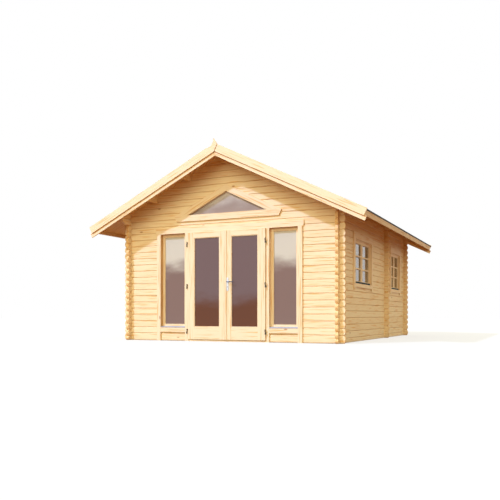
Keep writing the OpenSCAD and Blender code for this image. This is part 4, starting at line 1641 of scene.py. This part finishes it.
@dataclass
class Studio:
    """Floor, light and camera.

    Attributes:
        camera_spot: Place of the camera in metres.
        camera_turn: Its turn about Z in radians.
        lens: Its focal length in millimetres.
        sensor_w: Width of its sensor in millimetres.
        rise: Its upward shift, as a share of the picture's width.
        sight: Farthest distance that it sees, in metres.
        key: Lamp from the front left, whose cool light the other two lights make up for.
        soft: Broad lamp from the front.
        fill_colour: Colour of the light from all around.
        fill_strength: Strength of that light.
        floor_colour: Colour of the floor as it is seen.
        bounce_colour: Colour of the light that the floor throws back on the house.
        floor_lift: Share of plain white in the floor as it is seen; the rest keeps the shadow.
        floor_size: Side of the floor in metres.
        floor_drop: Depth of the floor below the house's feet in metres.
    """

    camera_spot: Triple = (5.107, -12.482, 0.456)
    camera_turn: float = math.radians(24.92)
    lens: float = 46.54
    sensor_w: float = 36.0
    rise: float = 0.1308
    sight: float = 200.0
    key: Lamp = Lamp("key", (0.69, 1.0, -1.05), 3.3, (0.46, 0.60, 1.0), 1.5)
    soft: Lamp = Lamp("soft_front", (0.05, 1.0, -0.35), 1.03, (1.0, 0.98, 0.65), 40.0)
    fill_colour: str = "#FFF8D3"
    fill_strength: float = 1.10
    floor_colour: str = "#E6E4E0"
    bounce_colour: str = "#7C4A22"
    floor_lift: float = 0.70
    floor_size: float = 120.0
    floor_drop: float = 0.5 * MM

    def camera(self) -> None:
        """Stand the camera at the photograph's place."""
        data = bpy.data.cameras.new("camera")
        data.lens = self.lens
        data.sensor_width = self.sensor_w
        data.shift_y = self.rise
        data.clip_end = self.sight
        obj = bpy.data.objects.new("camera", data)
        obj.location = self.camera_spot
        obj.rotation_euler = (math.pi / 2, 0.0, self.camera_turn)
        bpy.context.scene.collection.objects.link(obj)
        bpy.context.scene.camera = obj

    @staticmethod
    def seen(tree: Tree, first: str, *others: str) -> Socket:
        """Tell whether a ray is of one of several kinds.

        Args:
            tree: The tree of the floor or of the world.
            first: An output of the Light Path node.
            others: More of its outputs.

        Returns:
            A socket that gives 1 for these rays and 0 for all others.
        """
        rays = add_node(tree, "LightPath")
        found = rays.outputs[first]
        for kind in others:
            either = add_node(tree, "Math", {"operation": "MAXIMUM"}, {0: found, 1: rays.outputs[kind]})
            found = either.outputs[0]
        return found

    def world(self) -> None:
        """Fill the world with soft light, white where it is seen."""
        world = bpy.data.worlds.new("studio")
        world.use_nodes = True
        tree = world.node_tree
        tree.nodes.clear()
        shown = self.seen(tree, "Is Camera Ray", "Is Glossy Ray", "Is Transmission Ray")
        fill = add_node(
            tree, "Background", inputs={"Color": linear(self.fill_colour), "Strength": self.fill_strength}
        )
        white = add_node(tree, "Background", inputs={"Color": linear("#FFFFFF"), "Strength": 1.0})
        both = add_node(tree, "MixShader", inputs={0: shown, 1: fill, 2: white})
        add_node(tree, "OutputWorld", inputs={"Surface": both})
        bpy.context.scene.world = world

    def floor(self) -> None:
        """Lay the pale floor, which shows white and keeps a soft shadow."""
        Bench.clear()
        bpy.ops.mesh.primitive_plane_add(size=self.floor_size, location=(0.0, 0.0, -self.floor_drop))
        obj = Bench.scaled("floor", Vector((1.0, 1.0, 1.0)))
        # Matt paint: pale and without gloss where it is seen, and warm in the light that it throws back
        mat, tree, _ = start_material("matt_painted_floor")
        shown = self.seen(tree, "Is Camera Ray", "Is Glossy Ray")
        lift = add_node(tree, "Math", {"operation": "MULTIPLY"}, {0: shown, 1: self.floor_lift})
        tone = add_node(
            tree, "Mix", {"data_type": "RGBA"},
            {0: shown, COLOUR_A: linear(self.bounce_colour), COLOUR_B: linear(self.floor_colour)},
        )
        pale = add_node(tree, "BsdfDiffuse", inputs={"Color": tone.outputs[COLOUR_OUT]})
        white = add_node(tree, "Emission", inputs={"Color": linear("#FFFFFF"), "Strength": 1.0})
        both = add_node(tree, "MixShader", inputs={0: lift, 1: pale, 2: white})
        add_node(tree, "OutputMaterial", inputs={"Surface": both})
        obj.data.materials.append(mat)

    def set_up(self) -> None:
        """Build the whole studio."""
        bpy.context.scene.view_settings.view_transform = "Standard"
        self.camera()
        self.key.hang()
        self.soft.hang()
        self.world()
        self.floor()


def main() -> None:
    """Set up the studio, dress the house and report each piece."""
    logging.basicConfig(level=logging.INFO, format="%(message)s")
    Studio().set_up()
    wood = Woodwork().dress()
    felt = RoofFelt().material()
    paint(["left_felt", "right_felt"], felt)
    fittings = Fittings()
    metals = fittings.dress()
    glazing = Glazing()
    glazing.panes()
    glazing.beads(wood)
    glazing.window_bars(wood["window_sashes"])
    roof = RoofCovering()
    roof.boards()
    roof.felt(felt)
    Flooring().lay()
    fittings.plate_details(metals)


if __name__ == "__main__":
    main()
